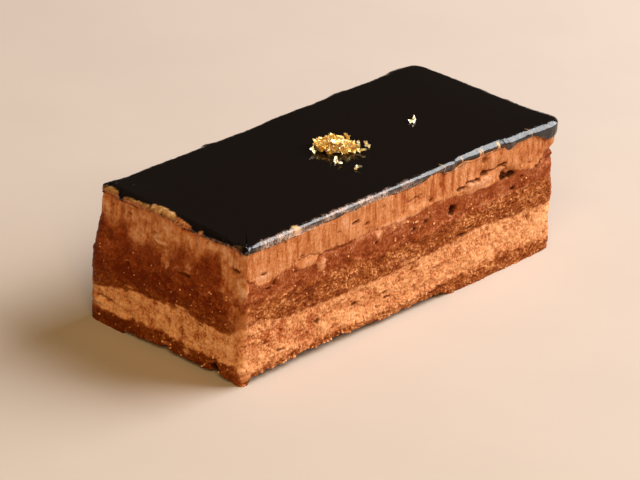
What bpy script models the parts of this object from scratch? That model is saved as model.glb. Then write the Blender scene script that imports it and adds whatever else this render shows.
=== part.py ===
"""Opera cake: one oblong portion, about 112 x 47 x 34 mm, with a tuft of gold leaf on top.

From the bottom up it is soaked almond sponge, coffee cream, sponge, ganache, coffee cream and a
poured chocolate glaze. Each layer is a closed solid that runs right through the cake.
Metres, +Z up, long side along X, the origin under the middle of the cake.
"""
import math

import bpy
from mathutils import Vector, noise

MM = 0.001

# Driving sizes of the cake's block and the heights at which its layers end.
LENGTH = 111.5 * MM
WIDTH = 46.5 * MM
BASE_SPONGE_TOP = 4.2 * MM
LOWER_CREAM_TOP = 12.3 * MM
MIDDLE_SPONGE_TOP = 18.6 * MM
GANACHE_TOP = 25.0 * MM
UPPER_CREAM_TOP = 32.2 * MM
GLAZE_TOP = 34.0 * MM

# Two layers that touch keep this gap between their faces.
GAP = 0.3 * MM
# This far in from the side a layer's top and bottom are flat.
CAP_INSET = 4.0 * MM

# Plan radius of each upright corner, in the order of corner_centres.
CORNER_RADII = (3.0 * MM, 1.8 * MM, 1.0 * MM, 4.0 * MM)
LONG_STEPS = 46
SHORT_STEPS = 19
CORNER_STEPS = 4

# How far each layer stands out from the block: the sponges spread, the creams were wiped back.
BASE_SPREAD = 0.8 * MM
LOWER_CREAM_SPREAD = 0.25 * MM
MIDDLE_SPREAD = 0.40 * MM
GANACHE_SPREAD = 0.05 * MM
UPPER_CREAM_SPREAD = -0.25 * MM
CREAM_UNDER_GLAZE = -0.65 * MM

# The glaze's rim: it rounds over the top edge and hangs down over the cream.
RIM_OUT = 0.0 * MM
RIM_INNER = -0.35 * MM
RIM_EDGE_DROP = 1.4 * MM
RIM_EDGE_REACH = 2.7 * MM
WORN_EDGE_DROP = 1.5 * MM
RIM_ROUND_STEPS = 4
LEAST_HANG = 0.35 * MM
TOP_INSET = 6.0 * MM

# Drips of the rim: side, place along that side, half width, extra hang, bulge outwards.
FRONT, RIGHT, BACK, LEFT = "front", "right", "back", "left"
DRIPS = (
    (FRONT, 15.0 * MM, 2.6 * MM, 1.0 * MM, 0.15 * MM),
    (FRONT, 35.0 * MM, 5.0 * MM, 0.6 * MM, 0.15 * MM),
    (FRONT, 51.0 * MM, 10.0 * MM, 2.0 * MM, 0.40 * MM),
    (RIGHT, -18.0 * MM, 10.0 * MM, 2.0 * MM, 0.90 * MM),
    (RIGHT, 2.0 * MM, 4.0 * MM, 1.7 * MM, 0.40 * MM),
    (RIGHT, 15.0 * MM, 5.0 * MM, 0.9 * MM, 0.25 * MM),
    (BACK, 48.0 * MM, 7.0 * MM, 1.3 * MM, 1.10 * MM),
    (BACK, 26.0 * MM, 5.0 * MM, 2.0 * MM, 0.80 * MM),
    (BACK, 3.0 * MM, 6.0 * MM, 0.8 * MM, 0.35 * MM),
    (BACK, -19.5 * MM, 3.0 * MM, 1.8 * MM, 0.90 * MM),
    (BACK, -38.0 * MM, 7.0 * MM, 0.9 * MM, 0.25 * MM),
    (LEFT, -14.5 * MM, 5.0 * MM, 0.4 * MM, 0.20 * MM),
    (LEFT, 14.0 * MM, 18.0 * MM, 0.5 * MM, 0.0 * MM),
)

# Where a layer's upper edge rises or sinks: layer, side, place, half width, rise.
LEVEL_SHIFTS = (
    (2, FRONT, 37.0 * MM, 22.0 * MM, 0.8 * MM),
    (2, FRONT, -52.5 * MM, 7.0 * MM, 0.9 * MM),
    (2, LEFT, 4.0 * MM, 22.0 * MM, -1.4 * MM),
    (2, LEFT, 20.5 * MM, 9.0 * MM, -1.0 * MM),
    (3, LEFT, 0.0 * MM, 21.0 * MM, -2.0 * MM),
    (4, FRONT, -48.0 * MM, 6.0 * MM, -1.6 * MM),
    (4, FRONT, 2.0 * MM, 13.0 * MM, 1.3 * MM),
    (4, LEFT, 13.5 * MM, 7.0 * MM, -1.8 * MM),
    (4, LEFT, 0.5 * MM, 5.0 * MM, -2.2 * MM),
    (4, LEFT, -18.0 * MM, 5.0 * MM, -2.6 * MM),
    (4, BACK, 22.0 * MM, 12.0 * MM, -1.0 * MM),
    (4, RIGHT, 8.0 * MM, 9.0 * MM, -1.2 * MM),
)

# Places where the cut side bulges or is hollow: middle, half width, half height, depth outwards.
DENTS = (
    ((-55.0 * MM, 22.5 * MM, 14.0 * MM), 22.0 * MM, 13.0 * MM, 0.5 * MM),
    ((52.5 * MM, -22.5 * MM, 26.3 * MM), 5.0 * MM, 2.6 * MM, -1.7 * MM),
    ((35.5 * MM, -23.0 * MM, 26.0 * MM), 4.0 * MM, 2.4 * MM, -0.8 * MM),
    ((24.0 * MM, -23.0 * MM, 26.5 * MM), 9.0 * MM, 2.6 * MM, 0.45 * MM),
    ((-55.5 * MM, -15.0 * MM, 1.5 * MM), 3.0 * MM, 2.5 * MM, -1.0 * MM),
    ((-55.7 * MM, -23.2 * MM, 0.8 * MM), 5.0 * MM, 4.0 * MM, -0.8 * MM),
)

# The ragged lower edge of the cake: side, from, to, and how far it lifts off the table.
LIFTS = (
    (FRONT, -53.5 * MM, 14.0 * MM, 1.4 * MM),
    (LEFT, -22.0 * MM, 12.0 * MM, 1.2 * MM),
    (BACK, -34.0 * MM, 41.0 * MM, 0.9 * MM),
    (RIGHT, -12.0 * MM, 17.0 * MM, 1.0 * MM),
)
LIFT_FADE = 2.0 * MM

# The tuft of gold leaf: where it lies, its half sizes, height and turn on the glaze.
GOLD_PLACE = (-0.3 * MM, 0.6 * MM)
GOLD_HALF = (4.8 * MM, 3.7 * MM)
GOLD_HEIGHT = 2.8 * MM
GOLD_TURN = math.radians(-50.0)
GOLD_SIDES = 22
GOLD_RINGS = 4
GOLD_RAGGED = 0.22

COLOURS = {
    "sponge": (0.30, 0.115, 0.035),
    "cream": (0.70, 0.36, 0.17),
    "ganache": (0.17, 0.048, 0.020),
    "glaze": (0.012, 0.007, 0.005),
    "gold": (0.90, 0.55, 0.14),
}


def clear_scene():
    for obj in list(bpy.data.objects):
        bpy.data.objects.remove(obj, do_unlink=True)


def material(name, roughness, metallic=0.0):
    made = bpy.data.materials.new(name)
    made.use_nodes = True
    shader = made.node_tree.nodes["Principled BSDF"]
    shader.inputs["Base Color"].default_value = (*COLOURS[name], 1.0)
    shader.inputs["Roughness"].default_value = roughness
    shader.inputs["Metallic"].default_value = metallic
    return made


def smooth_step(x):
    x = min(max(x, 0.0), 1.0)
    return x * x * (3.0 - 2.0 * x)


def bump(distance, half_width):
    """1 at the middle of a local feature, falling smoothly to 0 at its half width."""
    return smooth_step(1.0 - abs(distance) / half_width)


def corner_centres(inset):
    """Centre, radius and first angle of each rounded corner, anticlockwise from the back right."""
    half_x, half_y = LENGTH / 2 - inset, WIDTH / 2 - inset
    corners = []
    for (sx, sy), radius, start in zip(
        ((1, 1), (-1, 1), (-1, -1), (1, -1)), CORNER_RADII, (0.0, 90.0, 180.0, 270.0)
    ):
        r = max(radius - inset, 0.2 * MM)
        corners.append((Vector((sx * (half_x - r), sy * (half_y - r))), r, math.radians(start)))
    return corners


def outline(inset=0.0):
    """Points and outward directions round the block, anticlockwise; each index keeps its place."""
    corners = corner_centres(inset)
    points = []
    for index, (centre, radius, start) in enumerate(corners):
        for step in range(CORNER_STEPS + 1):
            angle = start + math.radians(90.0) * step / CORNER_STEPS
            out = Vector((math.cos(angle), math.sin(angle)))
            points.append((centre + radius * out, out))
        last, out = points[-1]
        following, next_radius, next_start = corners[(index + 1) % 4]
        first = following + next_radius * Vector((math.cos(next_start), math.sin(next_start)))
        steps = LONG_STEPS if index % 2 == 0 else SHORT_STEPS
        for step in range(1, steps):
            points.append((last.lerp(first, step / steps), out))
    return points


def side_of(out):
    """Which side of the cake a point with this outward direction is on."""
    if abs(out.y) >= abs(out.x):
        return BACK if out.y > 0 else FRONT
    return RIGHT if out.x > 0 else LEFT


def along_side(point, out):
    return point.x if side_of(out) in (FRONT, BACK) else point.y


def layer_wave(point, out, layer):
    """How far the upper edge of a layer rises or dips at this place: slow waves and its shifts."""
    x, y = point.x / MM, point.y / MM
    wave = 0.26 * math.sin(x / 9.5 + 1.9 * layer) + 0.20 * math.sin(y / 6.0 - 2.3 * layer)
    wave += 0.14 * math.sin((x - 1.4 * y) / 3.3 + 4.1 * layer)
    place = along_side(point, out)
    shift = sum(
        rise * bump(place - middle, half)
        for number, side, middle, half, rise in LEVEL_SHIFTS
        if number == layer and side == side_of(out)
    )
    return wave * MM + shift


def side_wave(point, z):
    """How far the cut side bulges at this place."""
    x, y, height = point.x / MM, point.y / MM, z / MM
    wave = 0.20 * math.sin(x / 12.0 + height / 9.0) + 0.15 * math.sin(y / 5.5 - height / 6.0)
    dents = sum(
        depth * bump((point - Vector(middle[:2])).length, half) * bump(z - middle[2], half_height)
        for middle, half, half_height, depth in DENTS
    )
    return wave * MM + dents


def edge_lift(point, out):
    """How far the ragged lower edge of the base stands off the table here."""
    lift = 0.0
    place = along_side(point, out)
    for side, start, end, height in LIFTS:
        if side == side_of(out):
            inside = smooth_step((place - start) / LIFT_FADE) * smooth_step((end - place) / LIFT_FADE)
            ragged = 1.0 + 0.20 * math.sin(place / MM * 0.43) + 0.15 * math.sin(place / MM * 0.97)
            lift = max(lift, inside * height * ragged)
    return lift


def drip_sum(point, out, column):
    """Sum over the drips at this place of one of their sizes: 3 is the hang, 4 the bulge."""
    place = along_side(point, out)
    return sum(
        drip[column] * bump(place - drip[1], drip[2]) for drip in DRIPS if drip[0] == side_of(out)
    )


def rim_drop(point, out):
    """Height of the rim's rounding, a little more where it is worn along most of the left end."""
    if side_of(out) != LEFT:
        return RIM_EDGE_DROP
    worn = smooth_step((point.y + 6.0 * MM) / (4.0 * MM))
    worn *= smooth_step((WIDTH / 2 - point.y) / (2.0 * MM))
    return RIM_EDGE_DROP + worn * (WORN_EDGE_DROP - RIM_EDGE_DROP)


def solid_from_rings(name, rings, finish):
    """A closed solid lofted through rings of equal length, lowest first, with both ends filled.

    The lowest band is cut along the other diagonal, so that it matches the layer under it.
    """
    count = len(rings[0])
    points = [p for ring in rings for p in ring]
    faces = [tuple(reversed(range(count)))]
    for level in range(len(rings) - 1):
        low, high = level * count, (level + 1) * count
        for i in range(count):
            j = (i + 1) % count
            if level == 0:
                faces += [(low + i, low + j, high + j), (low + i, high + j, high + i)]
            else:
                faces += [(low + i, low + j, high + i), (low + j, high + j, high + i)]
    faces.append(tuple(range(len(points) - count, len(points))))
    mesh = bpy.data.meshes.new(name)
    mesh.from_pydata(points, [], faces)
    mesh.shade_smooth()
    mesh.set_sharp_from_angle(angle=math.radians(50.0))
    mesh.materials.append(finish)
    obj = bpy.data.objects.new(name, mesh)
    bpy.context.scene.collection.objects.link(obj)
    return obj


def flat_ring(inset, z):
    return [(p.x, p.y, z) for p, _ in outline(inset)]


def wavy_edge(z, layer, gap=0.0, lifted=False):
    """The height of a layer's edge at each place of the outline."""
    heights = []
    for point, out in outline():
        height = z + gap
        if layer is not None:
            height += layer_wave(point, out, layer)
        if lifted:
            height += edge_lift(point, out)
        heights.append(height)
    return heights


def side_rings(low, high, spread_low, spread_high, levels):
    """Rings up the cut side between two edges, standing out from the block by a spread."""
    rings = []
    for level in range(levels + 1):
        t = level / levels
        spread = spread_low + (spread_high - spread_low) * t
        ring = []
        for (point, out), z_low, z_high in zip(outline(), low, high):
            z = z_low + (z_high - z_low) * t
            place = point + out * (spread + side_wave(point, z))
            ring.append((place.x, place.y, z))
        rings.append(ring)
    return rings


def make_layer(name, floor, roof, layers, spreads, finish, levels=2):
    """One layer of the cake. floor and roof are its mean heights, layers the waves of its edges."""
    grounded = layers[0] is None
    gap = 0.0 if grounded else GAP
    low = wavy_edge(floor, layers[0], gap=gap, lifted=grounded)
    high = wavy_edge(roof, layers[1])
    rings = [flat_ring(CAP_INSET, floor + gap)]
    rings += side_rings(low, high, *spreads, levels)
    rings.append(flat_ring(CAP_INSET, roof))
    return solid_from_rings(name, rings, finish)


def make_glaze(finish):
    """The poured glaze: a flat top, a rounded edge, and a rim that hangs over the cream."""
    underside = UPPER_CREAM_TOP + GAP
    rings = [flat_ring(CAP_INSET, underside)]
    inner_top, inner_foot, foot, side = [], [], [], []
    rounds = [[] for _ in range(RIM_ROUND_STEPS + 1)]
    for point, out in outline():
        hang = underside - LEAST_HANG - drip_sum(point, out, 3)
        wave = side_wave(point, hang)
        reach = RIM_OUT + wave + drip_sum(point, out, 4)
        drop = rim_drop(point, out)
        inner = point + out * (RIM_INNER + side_wave(point, underside))
        inner_top.append((inner.x, inner.y, underside))
        inner = point + out * (RIM_INNER + wave)
        inner_foot.append((inner.x, inner.y, hang + 0.1 * MM))
        under = point + out * (RIM_INNER + wave + reach) / 2
        foot.append((under.x, under.y, hang))
        outer = point + out * reach
        side.append((outer.x, outer.y, min(hang + 0.35 * MM, GLAZE_TOP - drop - 0.1 * MM)))
        for step, ring in enumerate(rounds):
            angle = math.radians(90.0) * step / RIM_ROUND_STEPS
            edge = outer - out * RIM_EDGE_REACH * (1.0 - math.cos(angle))
            ring.append((edge.x, edge.y, GLAZE_TOP - drop * (1.0 - math.sin(angle))))
    rings += [inner_top, inner_foot, foot, side, *rounds]
    rings.append(flat_ring(TOP_INSET, GLAZE_TOP))
    return solid_from_rings("glaze", rings, finish)


def make_gold_leaf(finish):
    """The crumpled tuft of gold leaf, out to its uneven outline."""
    foot = GLAZE_TOP + GAP
    cos_turn, sin_turn = math.cos(GOLD_TURN), math.sin(GOLD_TURN)
    rings = []
    for level in range(GOLD_RINGS + 1):
        angle = math.radians(90.0) * min(level / GOLD_RINGS, 0.88)
        ring = []
        for i in range(GOLD_SIDES):
            turn = 2 * math.pi * i / GOLD_SIDES
            ragged = noise.noise(Vector((2.3 * math.cos(turn), 2.3 * math.sin(turn), 0.9 * level)))
            reach = math.cos(angle) * (1.0 + GOLD_RAGGED * 2 * ragged)
            u, v = GOLD_HALF[0] * reach * math.cos(turn), GOLD_HALF[1] * reach * math.sin(turn)
            lump = 1.0 + GOLD_RAGGED * noise.noise(Vector((u / MM, v / MM, 3.0)) * 0.8)
            z = foot + GOLD_HEIGHT * math.sin(angle) * lump
            x = GOLD_PLACE[0] + u * cos_turn - v * sin_turn
            y = GOLD_PLACE[1] + u * sin_turn + v * cos_turn
            ring.append((x, y, z))
        rings.append(ring)
    return solid_from_rings("gold_leaf", rings, finish)


def centre_on_origin(objects):
    """Moves the finished cake so that its box stands on the origin."""
    corners = [v.co for obj in objects for v in obj.data.vertices]
    low = Vector([min(c[i] for c in corners) for i in range(3)])
    high = Vector([max(c[i] for c in corners) for i in range(3)])
    for obj in objects:
        obj.location = (-(low.x + high.x) / 2, -(low.y + high.y) / 2, -low.z)


def main():
    clear_scene()
    sponge = material("sponge", 0.75)
    cream = material("cream", 0.5)
    ganache = material("ganache", 0.45)
    cake = [
        make_layer("base_sponge", 0.0, BASE_SPONGE_TOP, (None, 1),
                   (BASE_SPREAD, BASE_SPREAD), sponge, levels=1),
        make_layer("lower_cream", BASE_SPONGE_TOP, LOWER_CREAM_TOP, (1, 2),
                   (LOWER_CREAM_SPREAD, LOWER_CREAM_SPREAD), cream),
        make_layer("middle_sponge", LOWER_CREAM_TOP, MIDDLE_SPONGE_TOP, (2, 3),
                   (MIDDLE_SPREAD, MIDDLE_SPREAD), sponge),
        make_layer("ganache", MIDDLE_SPONGE_TOP, GANACHE_TOP, (3, 4),
                   (GANACHE_SPREAD, GANACHE_SPREAD), ganache),
        make_layer("upper_cream", GANACHE_TOP, UPPER_CREAM_TOP, (4, None),
                   (UPPER_CREAM_SPREAD, CREAM_UNDER_GLAZE), cream, levels=4),
        make_glaze(material("glaze", 0.06)),
        make_gold_leaf(material("gold", 0.25, metallic=1.0)),
    ]
    centre_on_origin(cake)


main()
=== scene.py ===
"""The looks of one portion of opera cake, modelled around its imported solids.

Every layer is a closed mesh whose cut side has real relief: pores and crumbs in the sponges, pits in
the coffee cream, knife streaks, smears, a torn crack and loose crumbs. Masks stored on the vertices
say where one layer was smeared over its neighbour, and the node materials follow them.
Lengths are in millimetres round the middle of the cake's block until a mesh is made.
"""
import itertools
import math

import bpy
import numpy as np
from mathutils import Matrix, Vector


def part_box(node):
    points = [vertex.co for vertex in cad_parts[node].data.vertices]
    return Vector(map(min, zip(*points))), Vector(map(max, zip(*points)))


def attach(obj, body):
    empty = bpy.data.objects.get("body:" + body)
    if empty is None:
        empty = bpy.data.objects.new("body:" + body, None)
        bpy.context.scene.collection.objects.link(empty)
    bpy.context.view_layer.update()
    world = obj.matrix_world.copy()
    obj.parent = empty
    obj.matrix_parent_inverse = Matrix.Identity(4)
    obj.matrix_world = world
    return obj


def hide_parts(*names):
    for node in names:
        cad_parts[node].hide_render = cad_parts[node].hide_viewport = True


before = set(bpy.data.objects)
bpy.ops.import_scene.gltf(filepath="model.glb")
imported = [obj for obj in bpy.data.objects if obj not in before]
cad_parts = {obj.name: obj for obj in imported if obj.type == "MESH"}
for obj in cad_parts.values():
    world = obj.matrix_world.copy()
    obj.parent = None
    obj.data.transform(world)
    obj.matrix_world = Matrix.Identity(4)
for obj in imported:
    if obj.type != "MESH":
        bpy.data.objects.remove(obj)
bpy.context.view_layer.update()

MM = 0.001

# The block's middle in the frame, whose origin is under the middle of the whole box.
BLOCK_SHIFT = np.array((0.114, -0.008, 0.0))

# The cake's block and the mean heights at which its layers end, as the solids have them.
LENGTH, WIDTH = 111.5, 46.5
HALF_X, HALF_Y = LENGTH / 2, WIDTH / 2
GLAZE_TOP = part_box("glaze")[1].z / MM
LEVELS = (0.0, 4.2, 12.3, 18.6, 25.0, GLAZE_TOP - 1.8)
CORNER_RADII = (3.0, 1.8, 1.0, 4.0)
SPACING = 0.2

FRONT, RIGHT, BACK, LEFT = range(4)


def spot(side, along, height):
    """A place on a cut side: how far from its left end as seen from outside, and how high."""
    plan = {
        FRONT: (along - HALF_X, -HALF_Y),
        RIGHT: (HALF_X, along - HALF_Y),
        BACK: (HALF_X - along, HALF_Y),
        LEFT: (-HALF_X, HALF_Y - along),
    }
    return np.array((*plan[side], height))


def listed(tables):
    """Every row of a table that is kept by side, with its side."""
    return [(side, row) for side, rows in tables.items() for row in rows]


# ---- noise

SHUFFLE = np.random.RandomState(11).permutation(256)
GRADIENTS = np.random.RandomState(12).normal(size=(256, 3))
GRADIENTS /= np.linalg.norm(GRADIENTS, axis=1)[:, None]
JITTER = np.random.RandomState(13).random_sample((256, 4))


def lattice_hash(cell):
    """A number from 0 to 255 for each cell of a lattice."""
    i, j, k = np.moveaxis(cell, -1, 0)
    return SHUFFLE[(SHUFFLE[(SHUFFLE[i & 255] + j) & 255] + k) & 255]


def gradient_noise(points):
    """Smooth noise from about -1 to 1 at points given in units of its own wavelength."""
    cell = np.floor(points).astype(np.int64)
    inside = points - cell
    fade = inside**3 * (inside * (inside * 6 - 15) + 10)
    total = np.zeros(points.shape[:-1])
    for corner in itertools.product((0, 1), repeat=3):
        reach = ((inside - corner) * GRADIENTS[lattice_hash(cell + corner)]).sum(-1)
        total += np.where(corner, fade, 1 - fade).prod(-1) * reach
    return total * 1.8


def fractal(points, wavelength, octaves=3, seed=0, stretch=(1, 1, 1)):
    """Several octaves of noise; stretch makes its features longer along an axis."""
    scaled = points / (wavelength * np.array(stretch, float)) + seed * 17.31
    total = np.zeros(points.shape[:-1])
    for octave in range(octaves):
        total += gradient_noise(scaled * 2**octave + octave * 5.7) / 2**octave
    return total


def ridged(points, wavelength, octaves=2, seed=0, stretch=(1, 1, 1)):
    """Noise from 0 to 1 that peaks along thin crests."""
    return 1 - np.clip(np.abs(fractal(points, wavelength, octaves, seed, stretch)), 0, 1)


def pores(points, spacing, radius, share, seed=0, stretch=(1, 1, 1)):
    """Depth, in radii, of round pores of mixed sizes scattered through the volume."""
    scaled = points / (spacing * np.array(stretch, float)) + seed * 9.17
    cell = np.floor(scaled).astype(np.int64)
    depth = np.zeros(points.shape[:-1])
    for offset in itertools.product((-1, 0, 1), repeat=3):
        near = cell + offset
        jitter = JITTER[lattice_hash(near)]
        distance = np.linalg.norm(near + jitter[..., :3] - scaled, axis=-1) * spacing
        size = jitter[..., 3] / share
        own = radius * np.clip(0.45 + 0.55 * size, 0, 1)
        dip = np.sqrt(np.clip(1 - (distance / own) ** 2, 0, None)) * own / radius
        depth = np.maximum(depth, np.where(size < 1, dip, 0))
    return depth


def smooth(x):
    x = np.clip(x, 0, 1)
    return x * x * (3 - 2 * x)


def ramp(x, start, end):
    """0 before start and 1 after end, smooth between them."""
    return smooth((x - start) / (end - start))


def blob(points, centre, radii):
    """1 in the middle of an ellipsoid and 0 outside it."""
    return smooth(1.0 - np.linalg.norm((points - centre) / np.array(radii, float), axis=-1))


# ---- plan outline


CORNER_SIGNS = np.array(((1, 1), (-1, 1), (-1, -1), (1, -1)))


class Outline:
    """Closely spaced points round the block, anticlockwise from the back right corner."""

    def __init__(self, spacing):
        sizes = (WIDTH, LENGTH)
        rows = []
        for index, radius in enumerate(CORNER_RADII):
            start = index * 90.0
            arc = max(int(math.pi / 2 * radius / spacing), 4)
            rows += [(index, start + 90.0 * step / arc, 0.0) for step in range(arc + 1)]
            following = CORNER_RADII[(index + 1) % 4]
            steps = int((sizes[(index + 1) % 2] - radius - following) / spacing)
            rows += [(index, start + 90.0, step / steps) for step in range(1, steps)]
        corner, turn, self.share = np.array(rows).T
        self.corner = corner.astype(int)
        self.out = np.stack([np.cos(np.radians(turn)), np.sin(np.radians(turn))], -1)
        self.out[np.abs(self.out) < 1e-9] = 0
        self.points = self.inset(0.0)

    def arc_end(self, corner, distance):
        """Where each point's direction meets a corner's arc, on the outline moved inwards."""
        radius = np.maximum(np.array(CORNER_RADII)[corner] - distance, 0.15)
        half = np.stack([HALF_X - distance - radius, HALF_Y - distance - radius], -1)
        return CORNER_SIGNS[corner] * half + radius[:, None] * self.out

    def inset(self, distance):
        """The outline moved inwards, by one distance or one for each point, which keep their order."""
        distance = np.broadcast_to(distance, self.share.shape)
        first = self.arc_end(self.corner, distance)
        last = self.arc_end((self.corner + 1) % 4, distance)
        return first + (last - first) * self.share[:, None]

    def at(self, height, distance=0.0):
        """The outline moved inwards, at one height or one for each point."""
        height = np.broadcast_to(height, self.share.shape)
        return np.concatenate([self.inset(distance), height[:, None]], 1)


OUTLINE = Outline(SPACING)
COUNT = len(OUTLINE.points)
OUT3 = np.concatenate([OUTLINE.out, np.zeros((COUNT, 1))], 1)
ON_SIDE = {
    RIGHT: np.clip(OUTLINE.out[:, 0], 0, 1) ** 2,
    LEFT: np.clip(-OUTLINE.out[:, 0], 0, 1) ** 2,
    BACK: np.clip(OUTLINE.out[:, 1], 0, 1) ** 2,
    FRONT: np.clip(-OUTLINE.out[:, 1], 0, 1) ** 2,
}
ALONG = {
    FRONT: OUTLINE.points[:, 0] + HALF_X,
    RIGHT: OUTLINE.points[:, 1] + HALF_Y,
    BACK: HALF_X - OUTLINE.points[:, 0],
    LEFT: HALF_Y - OUTLINE.points[:, 1],
}


def sum_along(tables):
    """Sum of soft bumps round the outline, each given as (along, half width, amount)."""
    total = np.zeros(COUNT)
    for side, (along, half, amount) in listed(tables):
        total += amount * ON_SIDE[side] * smooth(1 - np.abs(ALONG[side] - along) / half)
    return total


# ---- where the layers end

# Where a boundary between layers rises or sinks, by level and side: along, half width, amount.
LEVEL_SHIFTS = {
    1: {FRONT: ((20, 22, -0.5),), LEFT: ((23, 20, 0.4),)},
    2: {FRONT: ((92.5, 22, 0.8), (3, 7, 0.9)), LEFT: ((19, 22, -1.4), (3, 9, -1))},
    3: {LEFT: ((23, 21, -2),), FRONT: ((25, 25, -0.6),)},
    4: {
        FRONT: ((7.5, 6, -1.6), (57.5, 13, 1.3)), LEFT: ((9.7, 7, -1.8), (22.7, 5, -2.2), (41.2, 5, -2.6)),
        BACK: ((33.7, 12, -1),), RIGHT: ((31.2, 9, -1.2),),
    },
    5: {
        FRONT: ((9, 22, 0.3), (33, 3.5, 0.4), (64.5, 4.5, 1.3), (76, 3.5, 0.6)), LEFT: ((40.5, 7.5, 0.8),),
    },
}
# How ragged each boundary is.
RAGGED = {1: 0.30, 2: 0.28, 3: 0.35, 4: 0.30, 5: 0.10}

# Where the lower edge lifts off the table, by side: along from and to, and how far.
LIFTS = {
    FRONT: ((2.4, 44, 2.1), (38, 70, 1.5)), LEFT: ((11.3, 45.2, 1.2),), BACK: ((14.7, 89.7, 0.9),),
    RIGHT: ((11.3, 40.2, 1),),
}


def level_height(level):
    """The height of one boundary between layers, all round the outline."""
    x, y = OUTLINE.points.T
    height = LEVELS[level] + 0.26 * np.sin(x / 9.5 + 1.9 * level) + 0.20 * np.sin(y / 6.0 - 2.3 * level)
    height += 0.14 * np.sin((x - 1.4 * y) / 3.3 + 4.1 * level) + sum_along(LEVEL_SHIFTS[level])
    return height + RAGGED[level] * fractal(OUTLINE.at(3.3 * level), 2.6, 4, seed=level)


def foot_height():
    """The ragged lower edge of the cake, which lifts off the table in places."""
    place = OUTLINE.at(0.0)
    lift = np.zeros(COUNT)
    for side, (start, end, height) in listed(LIFTS):
        inside = ramp(ALONG[side], start - 0.6, start + 0.6) * ramp(-ALONG[side], -end - 2.5, -end + 2.5)
        ragged = 1 + 0.22 * fractal(place, 9.0, 2, seed=5) + 0.24 * fractal(place, 1.7, 3, seed=6)
        lift = np.maximum(lift, ON_SIDE[side] * inside * height * ragged)
    return np.clip(lift + 0.10 * np.abs(fractal(place, 2.0, 3, seed=7)), 0.02, None)


EDGES = [foot_height()] + [level_height(level) for level in range(1, 6)]
BASE, LOWER_CREAM, MIDDLE, GANACHE, UPPER_CREAM = range(5)


# ---- what shows on the cut sides

# Where one filling gives way to the next, as (along, height) round the cut sides. These lines
# wander more than the layers themselves, because the knife dragged the fillings over each other.
BASE_TO_CREAM = {
    FRONT: (
        (0, 0.8), (1.9, 0.8), (3.1, 3), (8.7, 3.9), (31.4, 3.9), (51.8, 3.5), (65.9, 3.5), (70.8, 4.3),
        (81.8, 4.3), (93.6, 4.6), (103.4, 4.1), (111, 3.1),
    ),
    RIGHT: ((0, 3.2), (10, 4.4), (22, 3.8), (35, 4.4), (46, 4)),
    BACK: ((0, 4), (20, 4.3), (45, 3.3), (70, 3.2), (95, 4.3), (111, 4.4)),
    LEFT: (
        (0, 3.6), (5.3, 3.6), (10.5, 3.9), (15.8, 4.8), (23, 5), (28.1, 4.6), (33.2, 4.2), (38.3, 4.6),
        (43.3, 4.9), (45.7, 4.9), (46, 4),
    ),
}
CREAM_TO_SPONGE = {
    FRONT: (
        (0, 14.7), (4.2, 15.1), (8.4, 14.4), (11.5, 13), (20.8, 12.7), (31, 12.4), (41.2, 12.4),
        (51.3, 12.5), (61.3, 12.8), (69.3, 13.1), (76.2, 13.2), (78.2, 14.1), (85, 14.3), (88.1, 13.2),
        (95.9, 12.8), (103.7, 12.8), (111, 12.3),
    ),
    RIGHT: ((0, 12.6), (8, 12.2), (16, 13.6), (24, 12.4), (34, 12.1), (40, 13.3), (46, 12.4)),
    BACK: (
        (0, 12.4), (15, 12.9), (30, 12.2), (52, 12.6), (60, 14), (68, 12.7), (85, 12.2), (100, 12.8),
        (111, 10.5),
    ),
    LEFT: (
        (0, 8.9), (2.4, 9.2), (5.6, 10.2), (10.8, 11.1), (16, 11.8), (21.1, 11.9), (26.2, 12.3),
        (29.2, 12.6), (31.2, 11.7), (39.2, 11.5), (43.2, 12.1), (46, 14.4),
    ),
}
SPONGE_TO_GANACHE = {
    FRONT: ((0, 19.6), (20.5, 19.5), (45.9, 18.9), (61, 18.6), (75.9, 18.7), (90.6, 19.4), (111, 19.3)),
    RIGHT: ((0, 19.6), (20, 18.4), (46, 19.2)), BACK: ((0, 19.2), (50, 18.5), (111, 18.8)),
    LEFT: ((0, 13.9), (46, 15.3)),
}
GANACHE_TO_CREAM = {
    FRONT: (
        (0, 26.6), (3, 25), (4.5, 23.4), (8, 23.2), (10, 24.3), (13, 24.7), (16.5, 25.3), (17.3, 24.1),
        (19, 23.4), (23, 23.4), (24.2, 24.6), (27.5, 25.4), (41, 25.4), (46.2, 25.3), (54, 24.9),
        (58, 24.7), (62, 25.6), (66, 25.6), (75, 24.4), (86, 23.6), (89, 24.6), (93, 25), (99, 24.3),
        (102, 23.6), (106, 25.6), (111, 26),
    ),
    RIGHT: (
        (0, 27), (5, 26), (10, 24.8), (13, 22.6), (16, 24.8), (22, 26.5), (28, 25.2), (31, 22.8),
        (34, 24.9), (40, 25.6), (46, 25.2),
    ),
    BACK: (
        (0, 25.2), (12, 26), (18, 24.8), (22, 22.8), (26, 25), (40, 26.4), (47, 25), (51, 22.9),
        (55, 25.2), (70, 26.2), (78, 24.8), (82, 22.9), (87, 25), (100, 26.2), (111, 25.5),
    ),
    LEFT: (
        (0, 25.9), (3.3, 26.3), (5.2, 25.3), (7.4, 26.9), (9.3, 26.4), (10.2, 23.9), (12.2, 23),
        (14.3, 23.9), (15.8, 25.1), (18.3, 25), (20.3, 24.3), (23.2, 23.9), (24.8, 25.4), (26.3, 27.6),
        (28.2, 26.1), (30.2, 25.2), (32.2, 26.6), (34.1, 28.6), (37, 29.4), (38.3, 27.7), (39.2, 22),
        (41, 20.6), (44, 20.9), (46, 20.7),
    ),
}

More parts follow.
